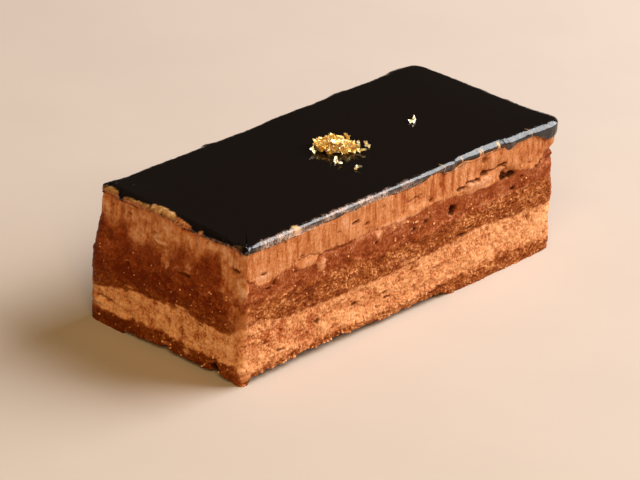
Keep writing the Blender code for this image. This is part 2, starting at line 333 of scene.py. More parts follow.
# How far each of those lines is torn, how far it is dragged upright, and how softly it fades, in
# millimetres; the last number is how many times softer it is on the left end.
MEETINGS = (
    (BASE_TO_CREAM, 0.75, 0.0, 1.6, 0.6),
    (CREAM_TO_SPONGE, 0.55, 0.0, 0.7, 1.3),
    (SPONGE_TO_GANACHE, 1.10, 0.2, 2.6, 1.7),
    (GANACHE_TO_CREAM, 0.32, 0.20, 0.7, 5.5),
)

# Bits of one filling carried into another, by filling and side: along, height, half sizes, strength.
PATCHES = {
    "cream": {
        FRONT: (
            (36.5, 17.1, 2.2, 0.8, 0.9), (52.2, 15, 8, 0.7, 0.4), (56.8, 13.5, 4, 0.5, 0.55),
            (14.5, 16.4, 3, 0.5, 0.35), (98.4, 19.4, 8, 0.35, 0.4), (28.9, 14.4, 3, 0.4, 0.35),
        ),
        LEFT: (
            (27.8, 12.9, 2.4, 0.6, 0.9), (12.3, 12.4, 1.6, 0.35, 0.55), (31.9, 15.7, 0.7, 0.5, 0.7),
            (30.6, 3.1, 1.3, 1, 0.6), (24.3, 2.3, 1, 0.8, 0.4), (46, 9.5, 2.4, 4.8, 0.7),
        ),
        RIGHT: ((12, 16.4, 2.4, 0.7, 0.7),), BACK: ((72, 16.2, 3.2, 0.7, 0.7), (95, 15.6, 2.6, 0.5, 0.5)),
    },
    "caramel": {
        FRONT: (
            (53.9, 24.2, 1.5, 0.5, 0.75), (50.7, 23.7, 1, 0.4, 0.55), (0.4, 23.9, 1.1, 2.6, 1),
            (92.4, 23.9, 2.5, 0.5, 0.6), (72.8, 20.3, 3, 0.35, 0.4), (83.7, 19.6, 6, 0.35, 0.45),
            (99.7, 22, 2, 0.4, 0.35), (25.6, 22.4, 1.9, 2, 0.9), (44.8, 23.5, 1.3, 1.6, 0.9),
        ),
        LEFT: (
            (21.9, 22.6, 1.5, 2.6, 0.75), (28.6, 24.2, 1.6, 1.8, 0.5), (29.7, 22.2, 1.7, 0.5, 0.55),
            (32, 23.5, 0.7, 1, 0.5), (45.1, 15.3, 3.6, 5.5, 0.55), (41.5, 23.3, 3.4, 3.6, 0.85),
        ),
        RIGHT: ((25, 22, 2, 0.6, 0.6),), BACK: ((33, 21.8, 3, 0.6, 0.6), (96, 22.4, 2, 0.6, 0.5)),
    },
    "ganache": {
        LEFT: (
            (8, 28.9, 0.9, 4.2, 0.6), (42.6, 27.6, 2.2, 0.9, 0.65), (4.5, 27.3, 0.8, 3.2, 0.4),
            (33.6, 30.3, 0.6, 2.2, 0.45),
        ),
    },
    "sponge": {
        FRONT: (
            (9.4, 23.8, 0.7, 1.3, 0.75), (58.9, 21.2, 1.8, 0.7, 0.6), (61.8, 22.4, 1, 1, 0.6),
            (15.6, 25.2, 0.8, 0.5, 0.6), (93.7, 21.2, 1.4, 0.6, 0.6), (104.1, 26.9, 2.8, 0.9, 0.55),
            (91.7, 25.5, 2.6, 1.1, 0.6), (7.6, 22, 1.2, 0.4, 0.5),
        ),
        LEFT: ((28.4, 21.2, 2.8, 0.5, 0.6), (3.5, 22.7, 1.5, 1.8, 0.55)),
        RIGHT: ((37, 22.6, 1.6, 0.9, 0.6),), BACK: ((64, 22.4, 1.8, 0.8, 0.6),),
    },
}
# Which shares a patch of each filling lessens.
COVERED = {
    "cream": ("ganache", "caramel"),
    "caramel": (),
    "ganache": ("caramel",),
    "sponge": ("cream", "ganache", "caramel"),
}

# Lighter and darker places, by side: along, height, half sizes, amount. Some are the fillings' own tone, some
# are painted shade in recesses and under overhangs, and some are painted highlights.
TONE_SHADE_HIGHLIGHT_PATCHES = {
    FRONT: (
        (17.3, 28.6, 0.5, 3.4, -0.8), (64, 29.4, 1, 4, -0.5), (67.6, 29.4, 1.4, 4.2, -0.7),
        (71.3, 29.6, 0.8, 3, -1), (53.6, 29.6, 0.7, 3.8, -0.7), (50.4, 29, 1, 3.6, -0.5),
        (58.5, 27, 3.6, 1.8, 0.6), (26.8, 28.4, 1.4, 2.6, 0.4), (98, 28.5, 5, 3, -0.35),
        (40.9, 28.1, 0.7, 3.2, -0.5), (80.3, 26.1, 10, 1.1, 0.7), (5.9, 25.5, 3.6, 0.9, 0.6),
        (20.3, 26.1, 3, 0.7, 0.4), (25.3, 23.2, 1.8, 2, 0.6), (44.3, 23.9, 1.2, 1.2, 0.5),
        (50.7, 24.7, 10, 1.6, 0.5), (105, 8.8, 9, 4.5, 0.4), (83.1, 13.5, 5, 0.8, 0.5),
        (13.8, 7.7, 17, 5.5, -0.5), (84, 30.2, 4, 1.4, 0.3), (53.1, 16.6, 9, 1.6, 0.5),
        (30.8, 17.3, 26, 1.6, -0.3), (0.4, 22.6, 1.2, 2.6, 0.7), (2.6, 25.2, 1.6, 0.5, -1.2),
        (16.4, 26, 0.7, 0.5, -1), (24, 1.6, 22, 1, 0.5), (56, 2, 11, 2.4, 0.7),
    ),
    LEFT: (
        (20.7, 28.9, 3.4, 2.4, 0.7), (19.9, 26.2, 2.7, 0.4, 2.4), (12.5, 25, 1.6, 1.8, 0.5),
        (12, 15.2, 12, 3.2, -0.5), (28.2, 14.7, 12, 2.2, -0.4), (40.9, 29.2, 2.6, 2, 0.4),
        (4.3, 5.1, 4.4, 1.4, 1), (45.3, 24.3, 1.4, 2.8, 0.8), (42.9, 22.4, 3, 2.2, -0.3),
        (9.4, 1.8, 12, 2.4, -0.7), (33.2, 1.4, 8, 1.3, -0.7), (0.7, 16.1, 3, 6, -0.4),
    ),
    RIGHT: ((24, 28.6, 5, 2.2, 0.5),), BACK: ((40, 28.4, 8, 2, 0.4), (84, 28.8, 7, 2, 0.4)),
}


def line_height(tables):
    """The height of one of those lines all round the outline."""
    return sum(ON_SIDE[side] * np.interp(ALONG[side], *zip(*table)) for side, table in tables.items())


LINES = [line_height(row[0]) for row in MEETINGS]


def side_blob(points, side, place, ragged):
    """1 in the middle of a patch on a cut side and 0 outside it, with a torn edge."""
    along, height, half_width, half_height = place
    centre = spot(side, along, height)
    depth = 4.0
    radii = (half_width, depth, half_height) if side in (FRONT, BACK) else (depth, half_width, half_height)
    near = np.all(np.abs(points - centre) < 1.9 * np.array(radii), axis=-1)
    mask = np.zeros(points.shape[:-1])
    if near.any():
        distance = np.linalg.norm((points[near] - centre) / radii, axis=-1)
        mask[near] = smooth(1.6 * (1.05 - distance + ragged[near]))
    return mask


def fillings(points, column):
    """The share of cream, ganache and wiped caramel cream at each point of the cut side.

    They lie over each other in that order, and what none of them covers is sponge.
    """
    z = points[..., 2]
    left = ON_SIDE[LEFT][column]
    torn = fractal(points, 2.4, 4, seed=21, stretch=(1, 1, 0.7))
    drag = 0.6 * fractal(points, 0.9, 3, seed=22, stretch=(1, 1, 5))
    drag += fractal(points, 2.8, 2, seed=23, stretch=(1, 1, 2))
    above = []
    for line, (_, tear, pull, fade, left_fade) in zip(LINES, MEETINGS):
        width = fade * (1 + (left_fade - 1) * left)
        above.append(smooth((z - line[column] + tear * torn + pull * drag) / width + 0.5))
    shares = {"cream": above[0] * (1 - above[1]), "ganache": above[2], "caramel": above[3]}
    ragged = 0.30 * fractal(points, 1.1, 3, seed=24) + 0.25 * drag
    for filling, tables in PATCHES.items():
        for side, (*place, strength) in listed(tables):
            mask = strength * side_blob(points, side, place, ragged)
            for covered in COVERED[filling]:
                shares[covered] = shares[covered] * (1 - mask)
            if filling in shares:
                shares[filling] = np.maximum(shares[filling], mask)
    return shares.values()


# ---- relief of the cut side

# How far each layer stands out from the block.
SPREADS = (0.60, 0.25, 0.32, 0.10, -0.25)

# Large bulges and hollows of the sides: place, radii, amount outwards.
DENTS = (
    ((-55.2, 21.5, 15), (24, 24, 15), 0.7), ((52.9, -22.5, 25.2), (4.5, 4.5, 3.3), -1.7),
    ((55.7, -21, 20.5), (5, 7, 6), -0.6), ((35.3, -23, 25.6), (4, 4, 1.6), -0.9),
    ((-55.7, -15.5, 1.5), (3, 3, 2.5), -1), ((24, -23.2, 26.2), (10, 5, 2.2), 0.75),
    ((29, -23.2, 30.5), (12, 5, 2), 0.25), ((-55.7, 20.2, 5.6), (4, 4.5, 1.3), 0.9),
    ((-55.7, 3, 28.4), (4, 3.6, 2.6), 0.35), ((-31, -23.2, 22.8), (2.2, 4, 2.4), 0.35),
    ((-12.1, -23.2, 23.6), (1.6, 4, 1.6), 0.3), ((-55.7, -23.2, 22.8), (2, 2, 3), 0.35),
    ((-55.7, -23.2, 1), (4, 4, 3.5), -0.9),
)

# Single holes, by side: along, height, half width, half height, depth.
HOLES = {
    FRONT: (
        (36.9, 29.3, 1.7, 0.55, 0.9), (40.8, 27.8, 1, 0.45, 0.8), (6.3, 25.9, 1, 0.38, 0.7),
        (13.2, 31.6, 0.6, 0.38, 0.7), (71.8, 21.7, 1.8, 1.4, 1.6), (62, 21.7, 1.3, 0.8, 0.5),
        (94.2, 20.3, 1.2, 0.5, 0.9), (97.2, 22.7, 0.7, 0.4, 0.5), (44.4, 21.9, 0.8, 0.5, 0.5),
        (63.6, 26.5, 1.1, 0.7, 0.5), (57.9, 21, 1.6, 0.5, 0.6), (30.7, 28.7, 0.8, 0.3, 0.3),
        (9.9, 22.9, 0.6, 0.9, 0.5), (8.1, 21.9, 0.9, 0.5, 0.5), (74.6, 26.2, 1.9, 0.6, 1.2),
        (79.5, 26.9, 1.6, 0.5, 1.2), (83.2, 27.6, 1.8, 0.75, 1.4), (89.5, 27.9, 2, 0.45, 0.8),
        (82.8, 31, 1.4, 0.9, 0.45), (90.4, 24.5, 1.5, 1, 0.9), (93.3, 24.4, 2, 1.1, 1.1),
        (18.9, 26.4, 0.9, 0.35, 0.5), (25.1, 8.2, 1.2, 0.9, 0.7), (38.1, 8.4, 1.2, 0.6, 0.7),
        (49, 6.6, 1.5, 0.45, 0.9), (48.5, 8, 0.9, 0.5, 0.5), (100.8, 11, 0.5, 1.4, 0.5),
        (57.7, 11.6, 0.45, 1.4, 0.4), (66.6, 8.6, 1.2, 0.5, 0.6), (7.5, 8.7, 0.9, 0.7, 0.5),
        (75.7, 14.2, 2.6, 0.45, 0.8), (86.1, 10.4, 0.4, 1.2, 0.4), (78.1, 15.2, 1.6, 0.35, 0.7),
        (59.4, 11.6, 0.4, 0.9, 0.5), (33.1, 10.8, 1.4, 0.4, 0.4), (12.8, 5.3, 1.6, 0.4, 0.6),
    ),
    LEFT: (
        (4.4, 22.9, 1.5, 1.9, 0.3), (9.8, 29.5, 0.8, 0.35, 0.5), (4.8, 7, 3.2, 0.3, 0.7),
        (39.1, 2, 1.4, 1.6, 1.4), (33.7, 10.8, 1.5, 0.35, 0.5), (18.4, 28, 1, 0.4, 0.3),
        (28.2, 21.1, 3, 0.4, 0.6), (42.8, 27.3, 1.8, 0.6, 0.6), (22.7, 26.1, 0.9, 0.3, 0.4),
        (11, 17.8, 1, 0.5, 0.4), (24, 1.3, 1.6, 0.7, 0.9), (1.8, 9, 1.4, 0.4, 0.5),
    ),
    RIGHT: (
        (9, 28.3, 1.8, 0.6, 0.9), (22, 21.5, 1.4, 1, 0.9), (33, 29.5, 1.2, 0.5, 0.7),
        (14, 8.6, 1.5, 0.6, 0.7), (37, 7.2, 1.1, 0.6, 0.6), (28, 15.2, 1.8, 0.5, 0.7),
    ),
    BACK: (
        (12, 29.4, 1.5, 0.5, 0.8), (30, 22, 1.6, 1.1, 1), (44, 28.6, 2.2, 0.6, 0.9),
        (58, 8.4, 1.4, 0.7, 0.7), (71, 29.8, 1, 0.5, 0.6), (83, 21.2, 1.3, 0.8, 0.8),
        (96, 7.5, 1.6, 0.6, 0.7), (66, 15, 2.4, 0.5, 0.6),
    ),
}

# Long cracks: side, half height, depth, and (along, height) along them.
CRACKS = (
    (FRONT, 0.28, 0.6, (
        (73.5, 25.6), (77, 27.4), (79, 26.8), (81, 27), (83, 27.6), (87, 27.7), (90, 27.8), (91.5, 26.8),
    )),
    (FRONT, 0.42, 1.2, ((101.5, 23.8), (102.6, 24), (104.2, 25), (105.6, 25.9), (107.2, 26))),
    (FRONT, 0.22, 0.3, ((17.2, 25.6), (21.5, 26.2), (25.5, 25), (29.5, 24.7), (37, 24.9))),
    (FRONT, 0.22, 0.35, ((54.5, 28.6), (56, 28.9), (60.5, 28.9))),
    (LEFT, 0.2, 0.5, ((1.5, 6.6), (3.5, 7.1), (6.5, 6.7), (8.5, 6), (8.7, 5))),
    (LEFT, 0.22, 0.3, ((17, 26.8), (18.5, 25.4), (21, 25), (23, 25.6))),
)


def hole_depth(points):
    """Depth of the single holes and cracks, with torn edges."""
    depth = np.zeros(points.shape[:-1])
    wander = 0.35 * fractal(points, 1.6, 3, seed=35)
    for side, half, deep, line in CRACKS:
        along = points[..., 0] + HALF_X if side == FRONT else HALF_Y - points[..., 1]
        out = -points[..., 1] - HALF_Y if side == FRONT else -points[..., 0] - HALF_X
        places, heights = zip(*line)
        off = np.abs(points[..., 2] - np.interp(along, places, heights) + wander)
        ends = smooth((along - places[0]) / 0.8) * smooth((places[-1] - along) / 0.8)
        depth = np.maximum(depth, deep * smooth(1.5 - off / half) * ends * (out > -2))
    torn = 0.30 * fractal(points, 1.1, 3, seed=25)
    for side, (*place, deep) in listed(HOLES):
        depth = np.maximum(depth, deep * side_blob(points, side, place, torn))
    return depth


def on_layer(points_z, column, softness=1.8):
    """Weight of each layer at each point: 1 inside it, fading across its boundaries."""
    weights = []
    for layer in range(5):
        low, high = EDGES[layer][column], EDGES[layer + 1][column]
        above = 1.0 if layer == BASE else smooth((points_z - low) / softness + 0.5)
        below = 1.0 if layer == UPPER_CREAM else smooth((high - points_z) / softness + 0.5)
        weights.append(above * below)
    total = sum(weights)
    return [w / total for w in weights]


# How far in from the left end's upper edge the glaze is wiped with cream, as (along, inset).
WIPE_REACH = (
    (0, 0.6), (1.2, 1.1), (3, 1.4), (5.2, 1.2), (6.3, 0.4), (7, -0.1), (7.8, 0.5), (9.5, 0.9), (14.5, 0.8),
    (15.6, 1), (16.6, 1.7), (18.5, 2.1), (22, 1.9), (23.4, 1.4), (25.5, 1.1), (27.5, 0.8), (29, 0.3),
    (30.2, -0.2), (31.2, 0.2), (32, 0.9), (32.8, 0.2), (34, -0.4), (41.8, -0.5), (42.4, 0.6), (43.4, 1),
    (44.4, 0.5), (45.2, -0.3), (46, -0.5),
)
WIPE = np.interp(ALONG[LEFT], *zip(*WIPE_REACH))
WIPED = ramp(WIPE, -0.5, 0.8) * ON_SIDE[LEFT]


def terraces(height, step):
    """Turns smooth relief into torn steps with soft treads."""
    level = height / step
    inside = level - np.floor(level)
    return (np.floor(level) + smooth((inside - 0.5) * 2.2 + 0.5)) * step


class Grain:
    """The noises that the cut side's relief and tone are made of, at some of its points."""

    def __init__(self, points):
        wide = (1.6, 1.6, 0.8)
        self.crumb = fractal(points, 1.7, 4, seed=1, stretch=wide)
        self.grit = fractal(points, 0.62, 2, seed=18)
        # Raised specks of crumb, which the tone below also paints lighter as painted glints.
        self.glints = ramp(fractal(points, 0.75, 2, seed=31, stretch=(1.3, 1.3, 0.9)), 0.30, 0.75)
        self.crumb_pits = pores(points, 1.3, 0.55, 0.40, seed=2, stretch=wide)
        self.lumps = fractal(points, 2.2, 4, seed=4, stretch=(1.2, 1.2, 0.9))
        self.grains = pores(points, 0.85, 0.55, 1.0, seed=34) - 0.5
        self.chips = terraces(0.30 * self.lumps, 0.20) + 0.10 * self.grains
        cream_pits = pores(points, 1.9, 0.80, 0.30, seed=6, stretch=(1.4, 1.4, 0.8))
        cream_pits = np.maximum(cream_pits, 0.45 * pores(points, 0.8, 0.34, 0.35, seed=7))
        self.cream_pits = cream_pits * smooth(0.75 + 1.1 * fractal(points, 5.0, 2, seed=33))
        z = points[..., 2]
        self.broad = fractal(points, 2.3, 3, seed=9, stretch=(1, 1, 5)) * ramp(z, 23.5, 29.5)
        self.lines = ridged(points, 2.9, 2, seed=16, stretch=(1, 1, 7)) ** 12 * ramp(z, 24.5, 28.5)
        self.wiped = fractal(points, 5.5, 3, seed=10)
        self.blotches = fractal(points, 2.0, 4, seed=17)
        self.wiped_pits = pores(points, 3.0, 0.75, 0.26, seed=11, stretch=(1.5, 1.5, 0.7))
        self.slowly = fractal(points, 6.5, 2, seed=12)


def wavy(x, y, z):
    """The slow bend of the sides."""
    return 0.20 * np.sin(x / 12.0 + z / 9.0) + 0.15 * np.sin(y / 5.5 - z / 6.0)


def cut_surface(points, column):
    """Relief of the cut side, and what the finish needs: painted shade in pits and holes, tone, fillings and
    bare crumb.
    """
    z = points[..., 2]
    left = ON_SIDE[LEFT][column]
    cream, ganache, caramel = fillings(points, column)
    own_ganache = ganache * (1 - caramel)
    own_cream = cream * (1 - ganache) * (1 - caramel)
    own_sponge = np.clip(1 - caramel - own_ganache - own_cream, 0, 1)
    # Ganache that was rubbed thinly over the sponge leaves the crumb standing out.
    rubbed = 19.0 + 0.8 * (1 - left) + 1.3 * fractal(points, 2.6, 3, seed=13, stretch=(1.6, 1.6, 1))
    crumbly = own_sponge + own_ganache * smooth((rubbed - z) / 3.0 + 0.5)
    grainy = crumbly * (1 - 0.5 * left)
    torn_cream = own_cream * (1 - 0.30 * left)
    streaked = 1 - 0.75 * left
    g = Grain(points)
    holes = hole_depth(points)

    layers = on_layer(z, column)
    relief = wavy(*np.moveaxis(points, -1, 0)) + sum(w * s for w, s in zip(layers, SPREADS))
    relief += sum(amount * blob(points, centre, radii) for centre, radii, amount in DENTS)
    relief -= (0.40 - 0.36 * WIPED[column]) * ramp(z, LEVELS[4], LEVELS[5]) * layers[UPPER_CREAM]
    relief += grainy * (0.18 * g.crumb + 0.12 * g.grit + 0.20 * g.glints - 0.26 * g.crumb_pits)
    relief += torn_cream * (g.chips + 0.11 * g.grit - 0.48 * g.cream_pits)
    relief += own_ganache * (0.08 * g.wiped - 0.20 * g.wiped_pits + 0.10 * g.crumb + 0.05 * g.grit)
    relief += own_ganache * 0.04 * g.blotches
    relief += caramel * (0.12 * g.wiped + streaked * (0.07 * g.broad - 0.09 * g.lines) - 0.24 * g.wiped_pits)
    relief += caramel * ((0.05 + 0.08 * left) * g.blotches + 0.035 * g.grit + 0.20 * (1 - left))

    # Painted shade: pits, holes and cracks are darkened in colour as well as sunk.
    pits = 0.8 * crumbly * g.crumb_pits + torn_cream * g.cream_pits
    pits += 0.8 * (own_ganache + caramel) * g.wiped_pits
    shade = np.clip(1 - 0.45 * np.clip(pits, 0, 1), 0, 1) * (1 - 0.85 * smooth(1.5 * holes))
    # The glints add painted highlights to the tone of the bare crumb.
    tone = grainy * (0.60 * g.crumb + 0.45 * g.grit + 1.1 * g.glints + 0.6 * g.slowly) - 0.30 * crumbly
    tone += own_cream * (0.50 * g.lumps + 0.30 * g.grit + 0.22 * g.grains + 0.50 * g.slowly)
    tone += own_cream * left * (0.25 + 0.8 * g.blotches + 0.3 * g.crumb)
    tone += own_ganache * (0.4 * g.wiped + 0.4 * g.crumb + 0.35 * g.grit + 0.35 * g.blotches)
    tone += caramel * (streaked * (0.5 * g.broad - 0.9 * g.lines) + 0.3 * g.wiped)
    tone += caramel * ((0.25 + 0.15 * left) * g.grit + (0.35 + 0.8 * left) * g.blotches)
    # Painted shade: the sponge and ganache on the left end, which is in shade, are made darker.
    tone -= left * (0.50 * own_sponge + 0.55 * own_ganache)
    ragged = 0.25 * fractal(points, 1.3, 3, seed=14)
    # Patches of own tone, painted shade and painted highlights.
    for side, (*place, amount) in listed(TONE_SHADE_HIGHLIGHT_PATCHES):
        tone += amount * side_blob(points, side, place, ragged)
    return relief - holes, shade, tone, cream, ganache, caramel, crumbly


# ---- meshes


def add_object(name, data):
    """A new object in the scene for a mesh, a light or a camera."""
    obj = bpy.data.objects.new(name, data)
    bpy.context.scene.collection.objects.link(obj)
    return obj


def make_object(name, points, faces, smooth_shading=True):
    """A mesh object in the frame, from points in millimetres round the block's middle."""
    mesh = bpy.data.meshes.new(name)
    mesh.from_pydata(((np.asarray(points) + BLOCK_SHIFT) * MM).tolist(), [], faces)
    if smooth_shading:
        mesh.shade_smooth()
    mesh.validate()
    return add_object(name, mesh)


def loft_faces(rows, count):
    """Faces of a closed loft whose rows run round it, lowest first, with both ends filled."""
    grid = np.arange(rows * count).reshape(rows, count)
    turned = np.roll(grid, -1, axis=1)
    quads = np.stack([grid[:-1], turned[:-1], turned[1:], grid[1:]], -1).reshape(-1, 4).tolist()
    return [grid[0][::-1].tolist()] + quads + [grid[-1].tolist()]


def add_attribute(obj, name, values):
    attribute = obj.data.attributes.new(name, "FLOAT", "POINT")
    attribute.data.foreach_set("value", np.ascontiguousarray(values, np.float32).ravel())


def sharpen_rows(obj, rows):
    """Marks the closed rows of a loft as creases, so that the faces on both sides shade apart."""
    ends = np.empty(2 * len(obj.data.edges), np.int32)
    obj.data.edges.foreach_get("vertices", ends)
    row = ends.reshape(-1, 2) // COUNT
    sharp = (row[:, 0] == row[:, 1]) & np.isin(row[:, 0], rows)
    obj.data.attributes.new("sharp_edge", "BOOLEAN", "EDGE").data.foreach_set("value", sharp)


CAP_INSETS = (6.0, 3.6, 2.0, 0.9, 0.4)
MASKS = ("shade", "tone", "cream", "ganache", "caramel", "crumbs")


def cap_ring(level, inset):
    """A ring of a layer's top or bottom, on the way from its edge to its flat middle."""
    share = smooth(inset / CAP_INSETS[0]) ** 2
    return OUTLINE.at(EDGES[level] + (LEVELS[level] - EDGES[level]) * share, inset)


def make_layer(name, layer):
    """One layer of the cake: its cut side in full relief, its hidden faces plain."""
    low, high = EDGES[layer], EDGES[layer + 1]
    steps = int(round((LEVELS[layer + 1] - LEVELS[layer]) / SPACING))
    share = np.linspace(0, 1, steps + 1)[:, None]
    z = low + (high - low) * share
    column = np.broadcast_to(np.arange(COUNT), z.shape)
    points = np.concatenate([np.broadcast_to(OUTLINE.points, z.shape + (2,)), z[..., None]], -1)
    relief, *masks = cut_surface(points, column)
    side = points + OUT3 * relief[..., None]
    below = [cap_ring(layer, inset) for inset in CAP_INSETS]
    above = [cap_ring(layer + 1, inset) for inset in CAP_INSETS[::-1]]
    rings = np.concatenate([below, side, above])
    obj = make_object(name, rings.reshape(-1, 3), loft_faces(len(rings), COUNT))
    pad = len(CAP_INSETS)
    sharpen_rows(obj, (pad, pad + steps))
    for title, values in zip(MASKS, masks):
        padded = np.pad(values, ((pad, pad), (0, 0)), mode="edge")
        if layer == BASE:
            # The underside is bare sponge, darkened with painted shade.
            padded[:pad] = {"shade": 0.45, "crumbs": 1.0}.get(title, 0.0)
        add_attribute(obj, title, padded)
    return obj


# ---- glaze

# Drips of the rim, by side: along, half width, extra hang; and how far they bulge.
HANGS = {
    FRONT: (
        (71.2, 1.9, 1.4), (92, 3.5, 1.2), (107, 8, 2.6), (35.5, 2.5, 0.3), (11.5, 1.5, 0.4),
        (23.8, 1.2, 0.4),
    ),
    RIGHT: ((4.5, 10, 2.1), (25.25, 3.5, 1.7), (38.25, 5, 0.9)),
    BACK: ((7.75, 7, 1.3), (29.75, 4.5, 2), (52.75, 6, 0.8), (75.25, 3, 1.8), (93.75, 7, 0.9)),
}
BULGES = {
    FRONT: ((71.2, 1.9, 0.25), (92, 4, 0.15), (106.5, 9, 0.45)), LEFT: ((0.5, 3, -0.45),),
    RIGHT: ((9, 12, 0.9), (25.25, 4, 0.4), (38.25, 5, 0.25)),
    BACK: ((7.75, 7, 1), (29.75, 5, 0.8), (52.75, 6, 0.35), (75.25, 3, 0.9), (93.75, 7, 0.25)),
}
# How the glaze's edge turns from upright to level: the lean at each part's ends in degrees, and its steps.
EDGE_PARTS = ((94.0, 86.0, 4), (80.0, 53.0, 2), (50.0, 31.0, 5), (31.0, 1.0, 6))
# How long those four parts are on each side. Along the front their lengths change, as (along, length).
FRONT_PARTS = (
    (
        (0, 0.7), (4, 0.8), (10, 1), (16, 1.1), (59, 1.2), (61, 0.3), (67.5, 0.3), (69.5, 1.2),
        (72.5, 1.2), (74, 0.4), (79, 0.5), (88, 0.9), (98, 0.7), (104, 0.5), (111, 0.5),
    ),
    ((0, 0.25), (111, 0.2)),
    (
        (0, 0.2), (2.5, 0.3), (4.5, 0.6), (10, 0.5), (16, 0.4), (56, 0.35), (63, 0.7), (68, 0.45),
        (74, 0.7), (82, 1.1), (96, 1.1), (111, 0.9),
    ),
    ((0, 1.3), (5, 0.6), (111, 0.6)),
)
LEFT_PARTS = (0.4, 0.3, 0.9, 1.6)
RIGHT_PARTS = (0.5, 0.3, 0.6, 0.9)
BACK_PARTS = (0.5, 0.3, 0.6, 0.9)
# How far the glaze sags at the back edge and the right one, over what width, and how gently that starts.
SAG_BACK = ((0, 0.7), (48, 0.45), (62, 0.9), (111, 0.8))
SAG_RIGHT = 0.9
SAG_WIDTH = 20.0
SAG_START = 10.0
# The row of the glaze's mesh where its steep part ends.
STEEP_END = 12.5
# How far the rim's foot is set in, along the front.
FOOT_INSET = (
    (0, 0.55), (55, 0.45), (68, 0.6), (74, 1.1), (84, 1.15), (88, 0.9), (92, 0.2), (102, 0), (111, 0),
)

# Thin pale marks where the knife dragged cream over the front edge: along, width, strength.
DRAG_MARKS = (
    (68, 0.14, 0.5), (75.3, 0.16, 0.9), (81.9, 0.3, 0.9), (82.8, 0.22, 0.7), (88.5, 0.4, 0.9),
    (99.3, 0.14, 0.6), (17, 0.9, 0.9),
)
# Glossy lumps where the rim turns the near corner.
CORNER_LUMPS = ON_SIDE[FRONT] * ramp(-ALONG[FRONT], -3.4, -2.0)
CORNER_LUMPS += ON_SIDE[LEFT] * ramp(ALONG[LEFT], 36.5, 39.0)
IN_CORNER = (ON_SIDE[FRONT] < 1) & (ON_SIDE[LEFT] < 1)
CORNER_LUMPS[IN_CORNER & (ALONG[FRONT] < 2) & (ALONG[LEFT] > 40)] = 1.0
# Dark nicks in the wiped left rim: along, half width, strength.
NICKS = ((16, 0.45, 0.9), (23.8, 0.4, 0.9), (30.3, 0.4, 0.7), (32.6, 0.3, 0.6))
# Where the wipe is as orange as the cream below it.
ORANGE_WIPE = ramp(ALONG[LEFT], 23.5, 24.6) * ramp(-ALONG[LEFT], -31.0, -30.0) * ON_SIDE[LEFT]


# Where the rim is thinner, by side: along, half width, share.
THIN_RIM = {LEFT: ((40.5, 7.5, 0.45),)}
# How far in the rows of the level top lie.
TOP_INSETS = (8.0, 9.0, 11.0, 13.0, 15.5, 18.0, 21.0)


def edge_profile():
    """Reach and rise round the glaze's edge, from the top of its rim inwards to its level top.

    The edge is nearly a slant on the front's right half, and turns more sharply elsewhere.
    """
    reach, rise = [np.zeros(COUNT)], [np.zeros(COUNT)]
    lengths = zip(FRONT_PARTS, LEFT_PARTS, RIGHT_PARTS, BACK_PARTS)
    for (front, left, right, back), (start, end, steps) in zip(lengths, EDGE_PARTS):
        length = ON_SIDE[FRONT] * np.interp(ALONG[FRONT], *zip(*front))
        length += left * ON_SIDE[LEFT] + right * ON_SIDE[RIGHT] + back * ON_SIDE[BACK]
        for step in range(steps):
            lean = math.radians(start + (end - start) * (step + 0.5) / steps)
            reach.append(reach[-1] + length / steps * math.cos(lean))
            rise.append(rise[-1] + length / steps * math.sin(lean))
    return np.array(reach), np.array(rise)


def top_sag(points):
    """How far the top has sunk at each point: most at the back and right, none at the front and left."""
    x, y = points[..., 0], points[..., 1]
    from_back, from_right = HALF_Y - y, HALF_X - x
    back = np.interp(from_right, *zip(*SAG_BACK)) * np.clip(1 - from_back / SAG_WIDTH, 0, 1) ** 2
    right = SAG_RIGHT * np.clip(1 - from_right / SAG_WIDTH, 0, 1) ** 2
    back *= smooth((x + HALF_X) / SAG_START)
    right *= smooth((y + HALF_Y) / SAG_START)
    return (back**4 + right**4) ** 0.25


def glaze_rings(place):
    """The glaze's closed rows as (inset, outwards, height), how low its rim hangs, and how far in it ends."""
    slow = wavy(place[:, 0], place[:, 1], GLAZE_TOP)
    ragged = fractal(place, 1.6, 3, seed=43)
    size = 1 + 0.10 * fractal(place, 4.5, 3, seed=42) - sum_along(THIN_RIM)
    out = 0.10 - 0.34 * WIPED + slow + sum_along(BULGES) + 0.06 * fractal(place, 3.4, 3, seed=44)
    out -= ON_SIDE[FRONT] * (0.1 + slow + np.interp(ALONG[FRONT], *zip(*FOOT_INSET)))
    hang = EDGES[5] + 0.10 - 0.50 * WIPED - sum_along(HANGS) - (0.18 + 0.30 * WIPED) * ragged
    reach, rise = edge_profile() * size
    shoulder = GLAZE_TOP - rise[-1]
    hang = np.minimum(hang, shoulder - 0.12)
    level = np.zeros(COUNT)
    inner = slow - 0.45 - 0.9 * ON_SIDE[FRONT]
    foot = out - 0.30 * WIPED
    rings = [(level + 3.4, level, EDGES[5] + 0.1), (level + 1.4, level, EDGES[5] + 0.05)]
    rings += [(level + 0.9, inner, hang + 0.15), (level + 0.35, (foot + inner) / 2, hang)]
    rings.append((level + 0.10, foot, hang + 0.08))
    for share in (0.2, 0.6):
        bulged = foot + (out - foot) * share + 0.03 * ragged
        rings.append((level, bulged, hang + 0.12 + (shoulder - hang - 0.12) * share))
    end = reach[-1]
    for inward, upward in zip(reach, rise):
        rings.append((inward, out * (1 - inward / end) * (out > 0) + out * (out <= 0), shoulder + upward))
    for share in (0.05, 0.10, 0.15, 0.21, 0.28, 0.40, 0.65):
        rings.append((end + (TOP_INSETS[0] - end) * share, out * (out <= 0) * (1 - share), level + GLAZE_TOP))
    rings += [(level + inset, level, level + GLAZE_TOP) for inset in TOP_INSETS]
    return np.array(rings), hang, end


